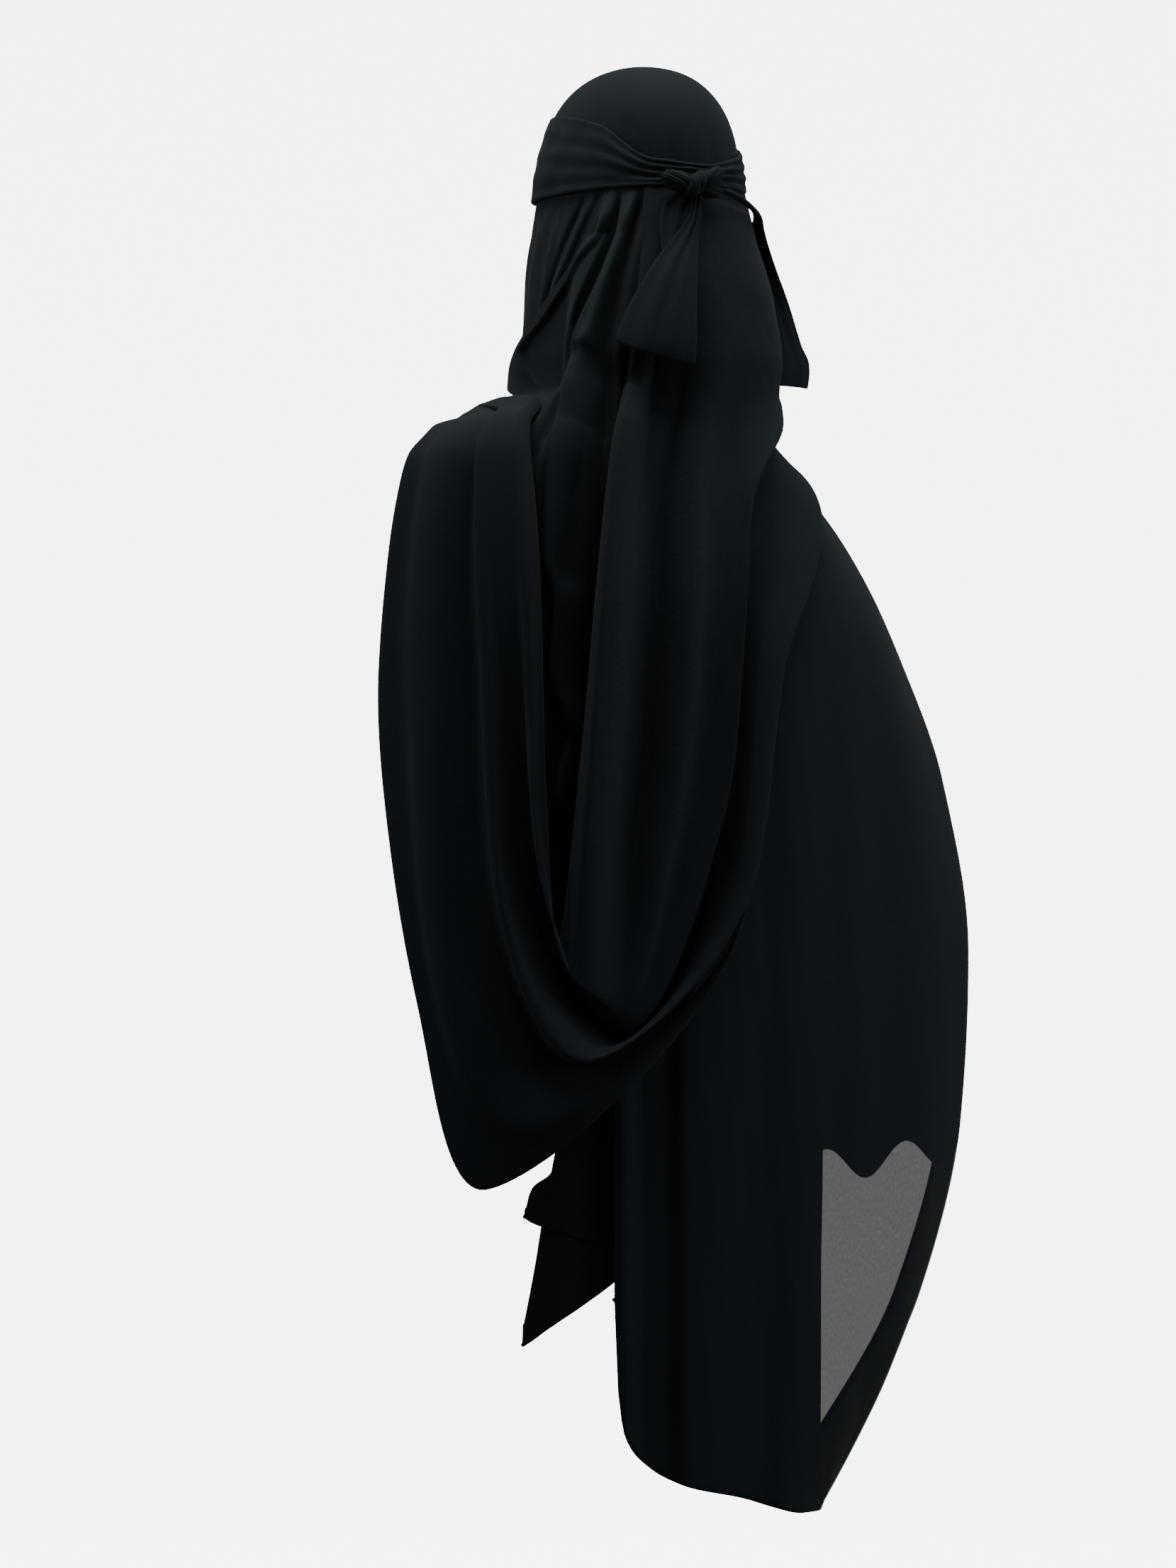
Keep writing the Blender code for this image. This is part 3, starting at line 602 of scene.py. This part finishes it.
def crepe(name, settings, sheer=None):
    """Matt black crepe: a crinkled grain in metres along the cloth, soft unevenness of tone and a dull sheen."""
    shading = Shading(name)
    along = shading.node("ShaderNodeTexCoord", output=2)
    yarn = shading.node("ShaderNodeMapping", inputs={"Vector": along, "Scale": (1.0, 0.42, 1.0)})
    grain = shading.node(
        "ShaderNodeTexNoise", {"noise_dimensions": "2D"},
        {"Vector": yarn, "Scale": 1.0 / settings.grain_size, "Detail": 3.0, "Roughness": 0.65},
    )
    place = shading.node("ShaderNodeTexCoord", output=3)
    wash = shading.node("ShaderNodeTexNoise", inputs={"Vector": place, "Scale": 9.0, "Detail": 2.0})
    tone = shading.math("MULTIPLY_ADD", grain, 0.55)
    tone.socket.node.inputs[2].default_value = 0.62
    tone = tone * (wash * 0.36 + 0.84)
    deep = tuple(channel * 0.55 for channel in settings.cloth_colour)
    pale = tuple(channel * 1.45 for channel in settings.cloth_colour)
    colour = shading.node(
        "ShaderNodeMix", {"data_type": "RGBA"},
        {"Factor": (tone - 0.55) * 1.2, "A": (*deep, 1.0), "B": (*pale, 1.0)}, output=2,
    )
    colour.socket.node.clamp_factor = True
    bump = shading.node("ShaderNodeBump", inputs={"Strength": 0.35, "Distance": 0.0006, "Height": grain})
    shading.set(Base_Color=colour, Normal=bump, Roughness=shading.math("ADD", wash * 0.14, 0.74))
    shading.set(Sheen_Weight=0.012, Sheen_Roughness=0.5, Specular_IOR_Level=0.045)
    if sheer:
        shading.set(Alpha=sheer(shading, grain))
    return shading.material


def window(settings):
    """Lets light through the single layer of cloth at the foot of the drape, where no other layer lies."""

    def alpha(shading, grain):
        place = shading.node("ShaderNodeTexCoord", output=3)
        split = shading.node("ShaderNodeSeparateXYZ", inputs={"Vector": place})
        across, behind, up = (Value(shading, split.socket.node.outputs[i]) for i in range(3))
        aside = across * -0.848 + behind * 0.530
        scallop = shading.math("COSINE", (aside - 0.154) * (2.0 * math.pi / 0.072), 0.0) * 0.0135
        low = shading.math("LESS_THAN", up, scallop - 0.918)
        back = shading.math("GREATER_THAN", behind, 0.012)
        right = shading.math("GREATER_THAN", aside, 0.150)
        return 1.0 - low * back * right * (settings.sheer * (grain * 0.5 + 0.75))

    return alpha


def woven(name, grids, flat, closed=False):
    """A mesh of one or more grids of points, its UV map in metres of flat cloth."""
    made = bmesh.new()
    made.loops.layers.uv.new("UVMap")
    for points in grids:
        rows, across = points.shape[:2]
        grid = bmesh.ops.create_grid(made, x_segments=across - 1, y_segments=rows - 1, size=0.5, calc_uvs=True)
        for vertex in grid["verts"]:
            i, j = round((0.5 - vertex.co.y) * (rows - 1)), round((vertex.co.x + 0.5) * (across - 1))
            vertex.co = points[i, j]
    if closed:
        bmesh.ops.remove_doubles(made, verts=made.verts, dist=1e-5)
    made.normal_update()
    facing = 0.0
    for face in made.faces:
        facing += face.normal.xy.dot(face.calc_center_median().xy) * face.calc_area()
    if facing < 0.0:
        bmesh.ops.reverse_faces(made, faces=made.faces)
    data = bpy.data.meshes.new(name)
    made.to_mesh(data)
    made.free()
    scale_uv(data, flat)
    data.shade_smooth()
    return data


def scale_uv(data, flat):
    """Stretches a UV map of one unit square to the cloth's flat size in metres."""
    layer = data.uv_layers[0].data
    uv = np.zeros(len(layer) * 2, np.float32)
    layer.foreach_get("uv", uv)
    layer.foreach_set("uv", (uv.reshape(-1, 2) * np.array(flat, np.float32)).ravel())


def hang(name, data, material, node, thickness):
    """Shows a finished piece of cloth in place of its solid."""
    thing = bpy.data.objects.new(name, data)
    bpy.context.scene.collection.objects.link(thing)
    data.materials.append(material)
    wall = thing.modifiers.new("wall", "SOLIDIFY")
    wall.thickness, wall.offset = thickness, 0.0
    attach(thing, "root")
    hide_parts(node)
    return thing


def panel_points(edges, folds, layer, down, across, settings, pleats=()):
    """Points of a hanging fall between two turns, whose top and hem follow a table of edges."""
    turns = np.linspace(edges[0][0], edges[-1][0], across)
    levels = rows_between(column(edges, 1, turns), column(edges, 2, turns), down)
    turn = np.broadcast_to(turns, levels.shape)
    at = layer(turn, levels) if callable(layer) else layer
    height = relief(folds, turn, levels, settings.fold_depth)
    height += pleated(pleats, turn, drop_of(levels)) + ripple(turn / 7.0, levels * 9.0, settings.unevenness)
    return spot(turn, levels, at, height)


class HijabSettings(bpy.types.PropertyGroup):
    cloth: FloatProperty(name="Cloth", description="Thickness of the crepe", default=0.0009, unit="LENGTH")
    hem: FloatProperty(name="Hem", description="Radius of the rolled hems", default=0.0012, unit="LENGTH")
    fold_depth: FloatProperty(name="Fold depth", description="Height of a full fold", default=FOLD_DEPTH, unit="LENGTH")
    unevenness: FloatProperty(name="Unevenness", description="Height of the small waves", default=0.0003, unit="LENGTH")
    grain_size: FloatProperty(name="Grain", description="Size of the crepe's grain", default=0.0011, unit="LENGTH")
    sheer: FloatProperty(name="Sheer", description="Light that each face of one layer lets through", default=0.135, subtype="FACTOR")
    cloth_colour: FloatVectorProperty(name="Cloth colour", description="Colour of the crepe", default=(0.0036, 0.0056, 0.0070), subtype="COLOR")
    stage_colour: FloatVectorProperty(name="Stage colour", description="Colour of the floor and backdrop", default=(0.80, 0.80, 0.79), subtype="COLOR")
    light: FloatProperty(name="Light", description="Strength of the lamps", default=60.0, unit="POWER")




class HIJAB_OT_crown(bpy.types.Operator):
    """Models the smooth cover of the head"""

    bl_idname = "hijab.crown"
    bl_label = "Crown cover"

    def execute(self, context):
        settings = context.scene.hijab
        made = bmesh.new()
        made.loops.layers.uv.new("UVMap")
        bmesh.ops.create_uvsphere(made, u_segments=144, v_segments=80, radius=1.0, calc_uvs=True)
        low = [vertex for vertex in made.verts if vertex.co.z < math.sin(math.radians(1.0))]
        bmesh.ops.delete(made, geom=low, context="VERTS")
        co = np.array([vertex.co for vertex in made.verts])
        turn = np.degrees(np.arctan2(co[:, 0], co[:, 1]))
        level = (1.0 - np.clip(co[:, 2], 0.0, 1.0)) * 0.985
        height = np.zeros_like(turn)
        for middle, width, top, foot, share in CROWN_CREASES:
            run = np.clip((level - top) / (foot - top), 0.0, 1.0)
            height += share * settings.fold_depth * ease(run) * np.exp(-((turn - middle) / width) ** 2)
        points = spot(turn, level, 0.0, height)
        for vertex, point in zip(made.verts, points):
            vertex.co = point
        data = bpy.data.meshes.new("crown_cover_cloth")
        made.to_mesh(data)
        made.free()
        data.shade_smooth()
        scale_uv(data, (0.54, 0.27))
        hang("crown_cover_cloth", data, crepe("crown_crepe", settings), "crown_cover", settings.cloth)
        return {"FINISHED"}


CROWN_CREASES = (
    # turn, width in degrees, from level, to level, share of the fold depth
    (38.0, 3.0, 0.45, 0.60, -0.30),
    (16.0, 3.5, 0.55, 0.95, -0.35),
    (22.0, 4.0, 0.55, 0.95, 0.30),
    (-8.0, 3.5, 0.55, 0.95, -0.35),
    (-2.0, 3.5, 0.55, 0.95, 0.25),
    (-20.0, 4.0, 0.55, 0.95, -0.30),
    (-14.0, 3.5, 0.55, 0.95, 0.25),
)


class HIJAB_OT_band(bpy.types.Operator):
    """Models the wide tie round the head, with the pleats that close towards the knot"""

    bl_idname = "hijab.band"
    bl_label = "Tie band"

    def execute(self, context):
        settings = context.scene.hijab
        turns = np.linspace(-180.0, 180.0, 289)
        share = np.linspace(0.0, 1.0, 49)[:, None]
        top = BAND_DROP - column(BAND_EDGES, 1, turns) * BAND_WIDTH
        foot = BAND_DROP - column(BAND_EDGES, 2, turns) * BAND_WIDTH
        level = level_of(top + (foot - top) * share)
        turn = np.broadcast_to(turns, level.shape)
        shut = 1.0 - np.abs(turn - 4.0) / 180.0
        pleats = np.cos(2.0 * np.pi * (3.4 * share + 0.004 * turn)) * (0.25 + 0.9 * shut**3)
        pleats = pleats * np.sin(np.pi * share) ** 0.5
        height = 0.0011 * pleats + ripple(turn / 11.0, share * 4.0, settings.unevenness)
        points = spot(turn, level, 1.25 + 1.95 * ease((level - 0.55) / 0.4), height)
        for side in ("top", "foot"):
            points = roll_edge(points, side, settings.hem)
        data = woven("tie_band_cloth", [points], CUTS["tie_band"][0], closed=True)
        hang("tie_band_cloth", data, crepe("tie_crepe", settings), "tie_band", settings.cloth)
        return {"FINISHED"}


KNOT_LOBES = (
    # middle to the right, up and out, half sizes across, up and out, lean in degrees, twist of its grooves
    (-0.52, 0.02, -0.10, 0.62, 0.34, 0.80, -14.0, 1.6),
    (0.02, -0.04, 0.20, 0.30, 0.50, 0.95, -38.0, 2.4),
    (0.50, 0.16, 0.00, 0.60, 0.28, 0.75, 34.0, -1.8),
    (0.46, -0.20, -0.10, 0.50, 0.26, 0.70, -6.0, 1.2),
)


class HIJAB_OT_knot(bpy.types.Operator):
    """Models the knot of the tie"""

    bl_idname = "hijab.knot"
    bl_label = "Knot"

    def execute(self, context):
        settings = context.scene.hijab
        middle_turn = 9.0
        angle = math.radians(middle_turn)
        band = Vector(spot(middle_turn, level_of(BAND_DROP + 0.007), 3.2))
        out = Vector((math.sin(angle), math.cos(angle), 0.0))
        side = Vector((-math.cos(angle), math.sin(angle), 0.0))
        centre = band + out * (CLOTH / 2.0 + 2.0 * LAYER_GAP + KNOT_DEPTH / 2.0)
        made = bmesh.new()
        made.loops.layers.uv.new("UVMap")
        for across, up, ahead, wide, tall, deep, lean, twist in KNOT_LOBES:
            lobe = bmesh.ops.create_uvsphere(made, u_segments=72, v_segments=48, radius=1.0, calc_uvs=True)
            tilt = math.radians(lean)
            for vertex in lobe["verts"]:
                x, y, z = vertex.co
                groove = 1.0 - 0.10 * math.cos(4.0 * z + twist * x) ** 4 - 0.05 * math.cos(11.0 * z + 2.0 * twist * x) ** 2
                x, y, z = x * wide * groove, y * deep * groove, z * tall * groove
                turned = Vector((x * math.cos(tilt) - z * math.sin(tilt), 0.0, x * math.sin(tilt) + z * math.cos(tilt)))
                aside = (across + turned.x) * KNOT_WIDTH / 2.0
                upright = Vector((0.0, 0.0, (up + turned.z) * KNOT_WIDTH / 2.0))
                vertex.co = centre + side * aside + upright + out * (ahead + y) * KNOT_DEPTH / 2.0
        bmesh.ops.recalc_face_normals(made, faces=made.faces)
        data = bpy.data.meshes.new("knot_cloth")
        made.to_mesh(data)
        made.free()
        data.shade_smooth()
        thing = bpy.data.objects.new("knot_cloth", data)
        context.scene.collection.objects.link(thing)
        data.materials.append(crepe("knot_crepe", settings))
        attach(thing, "root")
        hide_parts("knot")
        return {"FINISHED"}


class HIJAB_OT_tails(bpy.types.Operator):
    """Models the tie's two loose ends"""

    bl_idname = "hijab.tails"
    bl_label = "Tails"

    def sheet(self, table, start, length, corner, settings):
        """Points of one sheet of a tail, with rolled hems, its left corner higher by a share of the length."""
        share = np.linspace(0.0, 1.0, 100)[:, None]
        step = np.linspace(0.0, 1.0, 37)
        left, right = column(table, 1, share), column(table, 2, share)
        turn = left + (right - left) * step
        level = level_of(start + share * length * (1.0 - corner * (1.0 - step) ** 2))
        stand = column(table, 3, share) + (column(table, 4, share) - column(table, 3, share)) * step
        bow = 0.35 * np.sin(np.pi * step) * share
        under = COWL_LIFT * 0.30 * ease((level - 1.1) / 0.7)
        pleat = 0.16 * np.cos(2.0 * np.pi * (2.5 * step + 0.2)) * (1.0 - 0.7 * share)
        extra = under + (stand + bow + pleat * np.sin(np.pi * step)) * TAIL_STAND
        points = spot(turn, level, 1.2 + fall_layer(turn, level))
        angle = np.radians(turn)
        points = points + np.stack((np.sin(angle), np.cos(angle), 0.0 * angle), axis=-1) * extra[..., None]
        for side in ("foot", "start", "end"):
            points = roll_edge(points, side, settings.hem * 0.8, 6)
        return points

    def execute(self, context):
        settings = context.scene.hijab
        tails = (
            ("tail_left", (LEFT_TAIL, LEFT_FLAP), BAND_DROP + KNOT_HEIGHT * 0.515, LEFT_TAIL_LENGTH, 0.13),
            ("tail_right", (RIGHT_TAIL,), BAND_DROP + KNOT_HEIGHT * 0.35, RIGHT_TAIL_LENGTH, 0.0),
        )
        for node, tables, start, length, corner in tails:
            sheets = [self.sheet(table, start, length, corner, settings) for table in tables]
            data = woven(node + "_cloth", sheets, CUTS[node][0])
            hang(node + "_cloth", data, crepe(node + "_crepe", settings), node, settings.cloth)
        return {"FINISHED"}


class HIJAB_OT_back_fall(bpy.types.Operator):
    """Models the back fall, its swagged cowl and the end thrown over the left shoulder"""

    bl_idname = "hijab.back_fall"
    bl_label = "Back fall"

    def execute(self, context):
        settings = context.scene.hijab
        rows = len(FALL_ROWS)
        steps = curve((0.0, 0.40, 0.60, 1.0), (0.0, 4.9, 6.3, rows - 1.0), np.linspace(0.0, 1.0, 170))
        places = curve((0.0, 0.18, 0.5, 0.82, 1.0), (0.0, 0.13, 0.5, 0.87, 1.0), np.linspace(0.0, 1.0, 200))
        turns, drops = [], []
        for row in FALL_ROWS:
            shoulder, low, end = drop_of(row[9]), row[10] * THROW_DROP, drop_of(row[11])
            marks = (
                drop_of(OVER_LEVEL),
                shoulder,
                shoulder + 0.30 * (low - shoulder),
                shoulder + 0.75 * (low - shoulder),
                low,
                low + 0.25 * (end - low),
                low + 0.62 * (end - low),
                low + 0.75 * (end - low),
                end,
            )
            turns.append(curve(FALL_PLACES, row[:9], places))
            drops.append(curve(FALL_PLACES, marks, places))
        turn = curve(np.arange(rows), np.array(turns), steps)
        level = curve(np.arange(rows), level_of(np.array(drops)), steps)
        shares = [curve(FALL_PLACES[1:8], row[1:], places) for row in FALL_FOLDS]
        fold = curve([row[0] for row in FALL_FOLDS], np.array(shares), steps)
        lift = column(FALL_LIFT, 1, places) * COWL_LIFT
        lift = lift + fold * COWL_LIFT * ease(places / 0.20) * ease((1.0 - places) / 0.14)
        lift = np.maximum(lift, 0.0) + ripple(turn / 7.0, level * 9.0, settings.unevenness)
        points = spot(turn, level, fall_layer(turn, level), lift)
        points = roll_edge(points, "foot", settings.hem)
        data = woven("back_fall_cloth", [points], CUTS["back_fall"][0][::-1])
        hang("back_fall_cloth", data, crepe("fall_crepe", settings), "back_fall", settings.cloth)
        return {"FINISHED"}


class HIJAB_OT_gathered_fall(bpy.types.Operator):
    """Models the pleats left of the middle, which sweep round the neck"""

    bl_idname = "hijab.gathered_fall"
    bl_label = "Gathered fall"

    def execute(self, context):
        settings = context.scene.hijab
        levels = rows_between(np.array([1.0]), np.array([2.52]), 200)
        share = np.linspace(0.0, 1.0, 90)
        middle, lead = column(GATHER_SIDES, 1, levels), column(GATHER_SIDES, 2, levels)
        turn = middle + (lead - middle) * share
        level = levels + 0.0 * turn
        drop = drop_of(level)
        top, foot = np.array(1.25), np.array(2.12)
        run = (drop - drop_of(top)) / (drop_of(foot) - drop_of(top))
        straight = reach(turn, top) + (reach(turn, foot) - reach(turn, top)) * np.clip(run, 0.0, 1.0) ** 0.7
        bridge = np.maximum(straight - reach(turn, level), 0.0) * ((run > 0.0) & (run < 1.0)) * ease((66.0 - turn) / 14.0)
        height = 0.004 * ease((drop - BAND_DROP - 0.006) / 0.03) + bridge + pleated(GATHER_PLEATS, turn, drop)
        height = height * ease((turn - column(GATHER_SIDES, 3, levels) + 2.0) / 8.0)
        points = spot(turn, level, 1.0 + ease((level - 1.05) / 0.4), height)
        points = roll_edge(points, "end", settings.hem)
        data = woven("gathered_fall_cloth", [points], CUTS["gathered_fall"][0])
        hang("gathered_fall_cloth", data, crepe("gather_crepe", settings), "gathered_fall", settings.cloth)
        return {"FINISHED"}


class HIJAB_OT_side_falls(bpy.types.Operator):
    """Models the cloth at each side of the head and the wrap under the chin"""

    bl_idname = "hijab.side_falls"
    bl_label = "Side falls and front wrap"

    def execute(self, context):
        settings = context.scene.hijab
        falls = (
            ("left_side_fall", LEFT_EDGES, LEFT_FOLDS, 0.0, 90, 110, ("end",), LEFT_PLEATS),
            ("right_side_fall", RIGHT_EDGES, RIGHT_FOLDS, side_layer, 90, 90, ("start",), ()),
            ("front_wrap", FRONT_EDGES, FRONT_FOLDS, front_layer, 90, 160, ("top", "foot"), ()),
        )
        for node, edges, folds, layer, down, across, hems, pleats in falls:
            points = panel_points(edges, folds, layer, down, across, settings, pleats)
            for side in hems:
                points = roll_edge(points, side, settings.hem)
            data = woven(node + "_cloth", [points], CUTS[node][0])
            hang(node + "_cloth", data, crepe(node + "_crepe", settings), node, settings.cloth)
        return {"FINISHED"}


class HIJAB_OT_drapes(bpy.types.Operator):
    """Models the long drape over the right shoulder and its inner and front layers"""

    bl_idname = "hijab.drapes"
    bl_label = "Drapes"

    def execute(self, context):
        settings = context.scene.hijab
        falls = (
            ("inner_drape", INNER_DRAPE_EDGES, INNER_FOLDS, 3.4, 130, 70, ("foot",)),
            ("arm_wrap", ARM_EDGES, ARM_FOLDS, arm_layer, 140, 90, ("foot",)),
            ("right_drape", DRAPE_EDGES, DRAPE_FOLDS, drape_layer, 190, 140, ("foot", "start", "end")),
        )
        for node, edges, folds, layer, down, across, hems in falls:
            points = panel_points(edges, folds, layer, down, across, settings)
            for side in hems:
                points = roll_edge(points, side, settings.hem)
            data = woven(node + "_cloth", [points], CUTS[node][0])
            sheer = window(settings) if node == "right_drape" else None
            hang(node + "_cloth", data, crepe(node + "_crepe", settings, sheer), node, settings.cloth)
        return {"FINISHED"}


class HIJAB_OT_waterfalls(bpy.types.Operator):
    """Models the two small ruffles beside the drape"""

    bl_idname = "hijab.waterfalls"
    bl_label = "Waterfalls"

    def execute(self, context):
        settings = context.scene.hijab
        falls = (
            ("waterfall_upper", UPPER_RUFFLE, UPPER_RUFFLE_FOLDS, 2.92),
            ("waterfall_lower", LOWER_RUFFLE, LOWER_RUFFLE_FOLDS, 2.42),
        )
        for node, edges, folds, layer in falls:
            points = panel_points(edges, folds, layer, 60, 60, settings)
            for side in ("foot", "end"):
                points = roll_edge(points, side, settings.hem)
            data = woven(node + "_cloth", [points], CUTS[node][0])
            hang(node + "_cloth", data, crepe(node + "_crepe", settings), node, settings.cloth)
        return {"FINISHED"}


class HIJAB_OT_stage(bpy.types.Operator):
    """Sets the pale floor and backdrop, the soft lamps and the camera"""

    bl_idname = "hijab.stage"
    bl_label = "Stage"

    def execute(self, context):
        settings = context.scene.hijab
        made = bmesh.new()
        profile = [(0.0, 0.0), (3.6, 0.0)]
        profile += [(3.6 + 3.0 * math.sin(a), 3.0 - 3.0 * math.cos(a)) for a in np.radians(np.linspace(9.0, 90.0, 10))]
        profile.append((6.6, 5.0))
        verts = [made.verts.new((x, 0.0, z + FLOOR)) for x, z in profile]
        edges = [made.edges.new(pair) for pair in zip(verts, verts[1:])]
        bmesh.ops.spin(
            made, geom=verts + edges, cent=(0.0, 0.0, 0.0), axis=(0.0, 0.0, 1.0),
            angle=2.0 * math.pi, steps=64, use_merge=True, use_duplicate=False,
        )
        bmesh.ops.remove_doubles(made, verts=made.verts, dist=1e-4)
        bmesh.ops.recalc_face_normals(made, faces=made.faces)
        data = bpy.data.meshes.new("backdrop")
        made.to_mesh(data)
        made.free()
        data.shade_smooth()
        backdrop = bpy.data.objects.new("backdrop", data)
        context.scene.collection.objects.link(backdrop)
        paper = Shading("backdrop_paper")
        paper.set(Base_Color=(*settings.stage_colour, 1.0), Roughness=0.95, Specular_IOR_Level=0.1)
        paper.set(Emission_Color=(*settings.stage_colour, 1.0), Emission_Strength=7.0)
        backdrop.visible_diffuse = backdrop.visible_glossy = False
        data.materials.append(paper.material)

        turn = math.radians(PHOTO_TURN)
        back = Vector((math.sin(turn), -math.cos(turn), 0.0))
        right = Vector((math.cos(turn), math.sin(turn), 0.0))
        aim = right * -0.0423 + Vector((0.0, 0.0, -0.6030))
        lens = bpy.data.cameras.new("photo_camera")
        lens.sensor_width = 36.0
        lens.lens = lens.sensor_width * VIEW_DISTANCE / (PHOTO_HEIGHT * PIXEL)
        camera = bpy.data.objects.new("photo_camera", lens)
        context.scene.collection.objects.link(camera)
        camera.location = aim + back * VIEW_DISTANCE
        camera.rotation_euler = (-back).to_track_quat("-Z", "Y").to_euler()
        context.scene.camera = camera

        for name, across, ahead, up, size, share in LAMPS:
            lamp = bpy.data.lights.new(name, "AREA")
            lamp.shape, lamp.size, lamp.energy = "DISK", size, settings.light * share
            thing = bpy.data.objects.new(name, lamp)
            context.scene.collection.objects.link(thing)
            thing.location = aim + right * across + back * ahead + Vector((0.0, 0.0, up))
            thing.rotation_euler = (aim - thing.location).to_track_quat("-Z", "Y").to_euler()
        world = bpy.data.worlds.new("studio")
        world.use_nodes = True
        world.node_tree.nodes["Background"].inputs["Color"].default_value = (0.95, 0.97, 1.0, 1.0)
        world.node_tree.nodes["Background"].inputs["Strength"].default_value = 0.30
        context.scene.world = world
        return {"FINISHED"}


PHOTO_TURN = 148.0
PHOTO_HEIGHT = 2212
PIXEL = 0.0006
VIEW_DISTANCE = 3.0
FLOOR = -1.60
LAMPS = (
    # name, metres to the right of the camera's aim, towards the camera, up, size, share of the strength
    ("left_lamp", -2.6, 0.5, 0.7, 1.6, 1.0),
    ("right_lamp", 2.6, 0.5, 0.7, 1.6, 1.0),
    ("top_lamp", 0.0, 0.4, 2.8, 2.0, 3.0),
)


class HIJAB_PT_panel(bpy.types.Panel):
    """Sizes, colours and steps of the hijab"""

    bl_idname = "HIJAB_PT_panel"
    bl_label = "Hijab"
    bl_space_type = "VIEW_3D"
    bl_region_type = "UI"
    bl_category = "Hijab"

    def draw(self, context):
        for name in HijabSettings.__annotations__:
            self.layout.prop(context.scene.hijab, name)
        for operator in OPERATORS:
            self.layout.operator(operator.bl_idname)


OPERATORS = (
    HIJAB_OT_stage,
    HIJAB_OT_crown,
    HIJAB_OT_band,
    HIJAB_OT_knot,
    HIJAB_OT_tails,
    HIJAB_OT_back_fall,
    HIJAB_OT_gathered_fall,
    HIJAB_OT_side_falls,
    HIJAB_OT_drapes,
    HIJAB_OT_waterfalls,
)
CLASSES = (HijabSettings, *OPERATORS, HIJAB_PT_panel)


def register():
    for made in CLASSES:
        bpy.utils.register_class(made)
    bpy.types.Scene.hijab = PointerProperty(type=HijabSettings)


def unregister():
    del bpy.types.Scene.hijab
    for made in reversed(CLASSES):
        bpy.utils.unregister_class(made)


def main():
    register()
    for operator in OPERATORS:
        group, step = operator.bl_idname.split(".")
        getattr(getattr(bpy.ops, group), step)()


if __name__ == "__main__":
    main()
